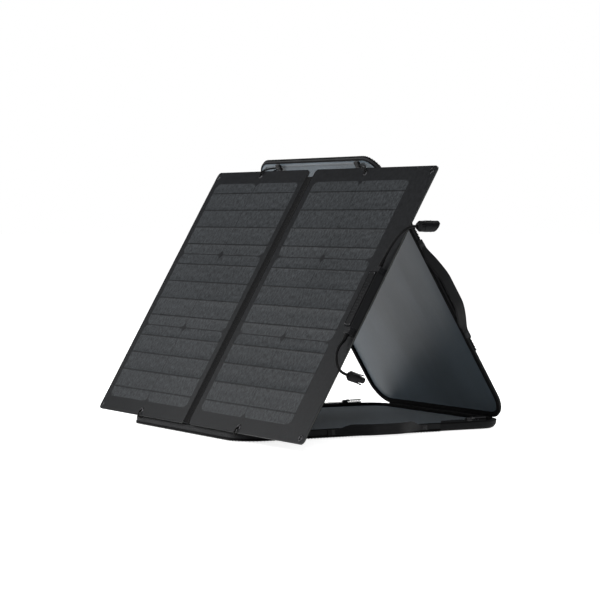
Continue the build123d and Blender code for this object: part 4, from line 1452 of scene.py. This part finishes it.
SLIDER_LAYERS = [
    (0.7, 0.8), (0.1, 1.2), (0.0, 2.2), (1.0, 2.6), (1.0, 4.2), (0.0, 4.6), (0.0, 5.7),
    (0.6, 6.3), (1.4, 6.4),
]
PIN_PROFILE = [
    (0.02, 0.0), (0.7, 0.0), (1.1, 0.3), (0.9, 0.8), (0.9, 8.0), (1.1, 8.5), (0.7, 8.8),
    (0.02, 8.8), (0.02, 0.0),
]
PULL_LAYERS = [(0.5, -1.2), (0.0, -0.8), (0.0, 0.8), (0.5, 1.2), (1.3, 1.25), (1.6, 0.9)]
EYE_PROFILE = [
    (0.98, 0.0), (1.7, 0.0), (1.9, 0.2), (1.9, 4.2), (1.7, 4.4), (0.98, 4.4), (0.98, 0.0),
]
for side, x in (("left", TEETH_X), ("right", -TEETH_X)):
    body = rounded_slab(
        f"{side}_slider_body", x - 4.5, x + 4.5, SLIDER_START, SLIDER_END, SLIDER_LAYERS,
        base_matrix, "slider", 2.4,
    )
    bridge = rounded_slab(
        f"{side}_slider_bridge", x - 1.4, x + 1.4, SLIDER_START + 1.5, SLIDER_END - 1.5,
        [(0.0, 6.2), (0.0, 7.0), (0.5, 7.5), (1.0, 7.6)], base_matrix, "slider", 1.2,
    )
    ears = blocks(
        f"{side}_slider_ears",
        [((x + way * 3.4, PIN_S + 0.9, PIN_HEIGHT), (0.7, 2.7, 1.5), 0.0) for way in (-1, 1)],
        base_matrix, "slider", 0.4,
    )
    level = base_matrix @ Matrix.Translation((x, 0.0, PIN_HEIGHT))
    lying = Matrix.Rotation(math.pi / 2, 4, "Y")
    across = level @ Matrix.Translation((-4.4, PIN_S, 0.0)) @ lying
    pin = lathe(f"{side}_pull_pin", PIN_PROFILE, across, "slider", 24)
    for piece in (body, bridge, ears, pin):
        settle(piece, f"{side}_slider", "slider_metal")
    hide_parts(f"{side}_slider")

    tab = rounded_slab(
        f"{side}_pull_tab", -3.5, 3.5, PIN_S - PULL_LENGTH, PIN_S - 4.8, PULL_LAYERS,
        level, "pull", 2.6,
    )
    grip = blocks(
        f"{side}_pull_ribs",
        [((0.0, PIN_S - PULL_LENGTH + 4.0 + 2.4 * k, 1.0), (1.9, 0.5, 0.35), 0.0)
         for k in range(7)],
        level, "pull", 0.2,
    )
    neck = rounded_slab(
        f"{side}_pull_neck", -2.3, 2.3, PIN_S - 7.0, PIN_S - 1.2,
        [(0.3, -0.8), (0.0, -0.5), (0.0, 0.5), (0.3, 0.8)], level, "slider", 0.6,
    )
    around = level @ Matrix.Translation((-2.2, PIN_S, 0.0)) @ lying
    eye = lathe(f"{side}_pull_eye", EYE_PROFILE, around, "slider", 28)
    for piece in (tab, grip, neck, eye):
        settle(piece, f"{side}_pull", "pull_rubber")
    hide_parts(f"{side}_slider_pull")

# --- Stage: floor, light and world ---

FLOOR_SIDES = 48
floor_rows = [
    [(*point, 0.0) for point, _ in arc_points(0, 0, radius, 0, 360, FLOOR_SIDES)[:-1]]
    for radius in (4.0, 12.0, 20.0, 40.0)
]
floor_mesh = bpy.data.meshes.new("floor")
floor_points, floor_faces = loft(floor_rows)
floor_faces.append(tuple(reversed(range(FLOOR_SIDES))))
floor_mesh.from_pydata(floor_points, [], floor_faces)
floor = put_in_scene("floor", floor_mesh)
floor.location.z = -0.0006
floor_material, tree, shader = start_material("floor", 0.9, 0.1)
shader.inputs["Base Color"].default_value = (0.8, 0.8, 0.8, 1.0)
shader.inputs["Emission Color"].default_value = (1.0, 1.0, 1.0, 1.0)
rays = add_node(tree, "ShaderNodeLightPath").outputs
glow = maths(tree, "MULTIPLY", rays["Is Camera Ray"], 0.8)
glow = maths(tree, "ADD", glow, maths(tree, "MULTIPLY", rays["Is Glossy Ray"], 0.4))
tree.links.new(glow, shader.inputs["Emission Strength"])
floor_mesh.materials.append(floor_material)

world = bpy.data.worlds.new("studio")
bpy.context.scene.world = world
world.use_nodes = True
tree = world.node_tree
background = tree.nodes["Background"]
background.inputs["Color"].default_value = (1.0, 1.0, 1.0, 1.0)
rays = add_node(tree, "ShaderNodeLightPath").outputs
lit = maths(tree, "MULTIPLY", rays["Is Camera Ray"], 0.65)
lit = maths(tree, "ADD", lit, maths(tree, "MULTIPLY", rays["Is Glossy Ray"], -0.3))
tree.links.new(maths(tree, "ADD", lit, 0.35), background.inputs["Strength"])


def soft_light(name, place, aim, size, power):
    data = bpy.data.lights.new(name, "AREA")
    data.shape = "DISK"
    data.size = size
    data.energy = power
    lamp = put_in_scene(name, data)
    lamp.location = place
    lamp.rotation_mode = "QUATERNION"
    lamp.rotation_quaternion = (Vector(aim) - Vector(place)).to_track_quat("-Z", "Y")


soft_light("key", (-1.1, -2.9, 2.0), (-0.2, 0.0, 0.2), 1.6, 95.0)
soft_light("fill", (3.2, -1.6, 1.6), (0.0, 0.0, 0.25), 2.2, 40.0)
soft_light("side", (-1.3, -1.1, 0.7), (-0.35, -0.15, 0.25), 0.6, 7.5)
soft_light("top", (0.3, 0.4, 3.4), (0.0, 0.0, 0.2), 2.5, 34.0)
soft_light("rim", (-1.0, 3.0, 2.0), (0.0, 0.0, 0.3), 1.6, 46.0)

bpy.context.scene.view_settings.view_transform = "Standard"
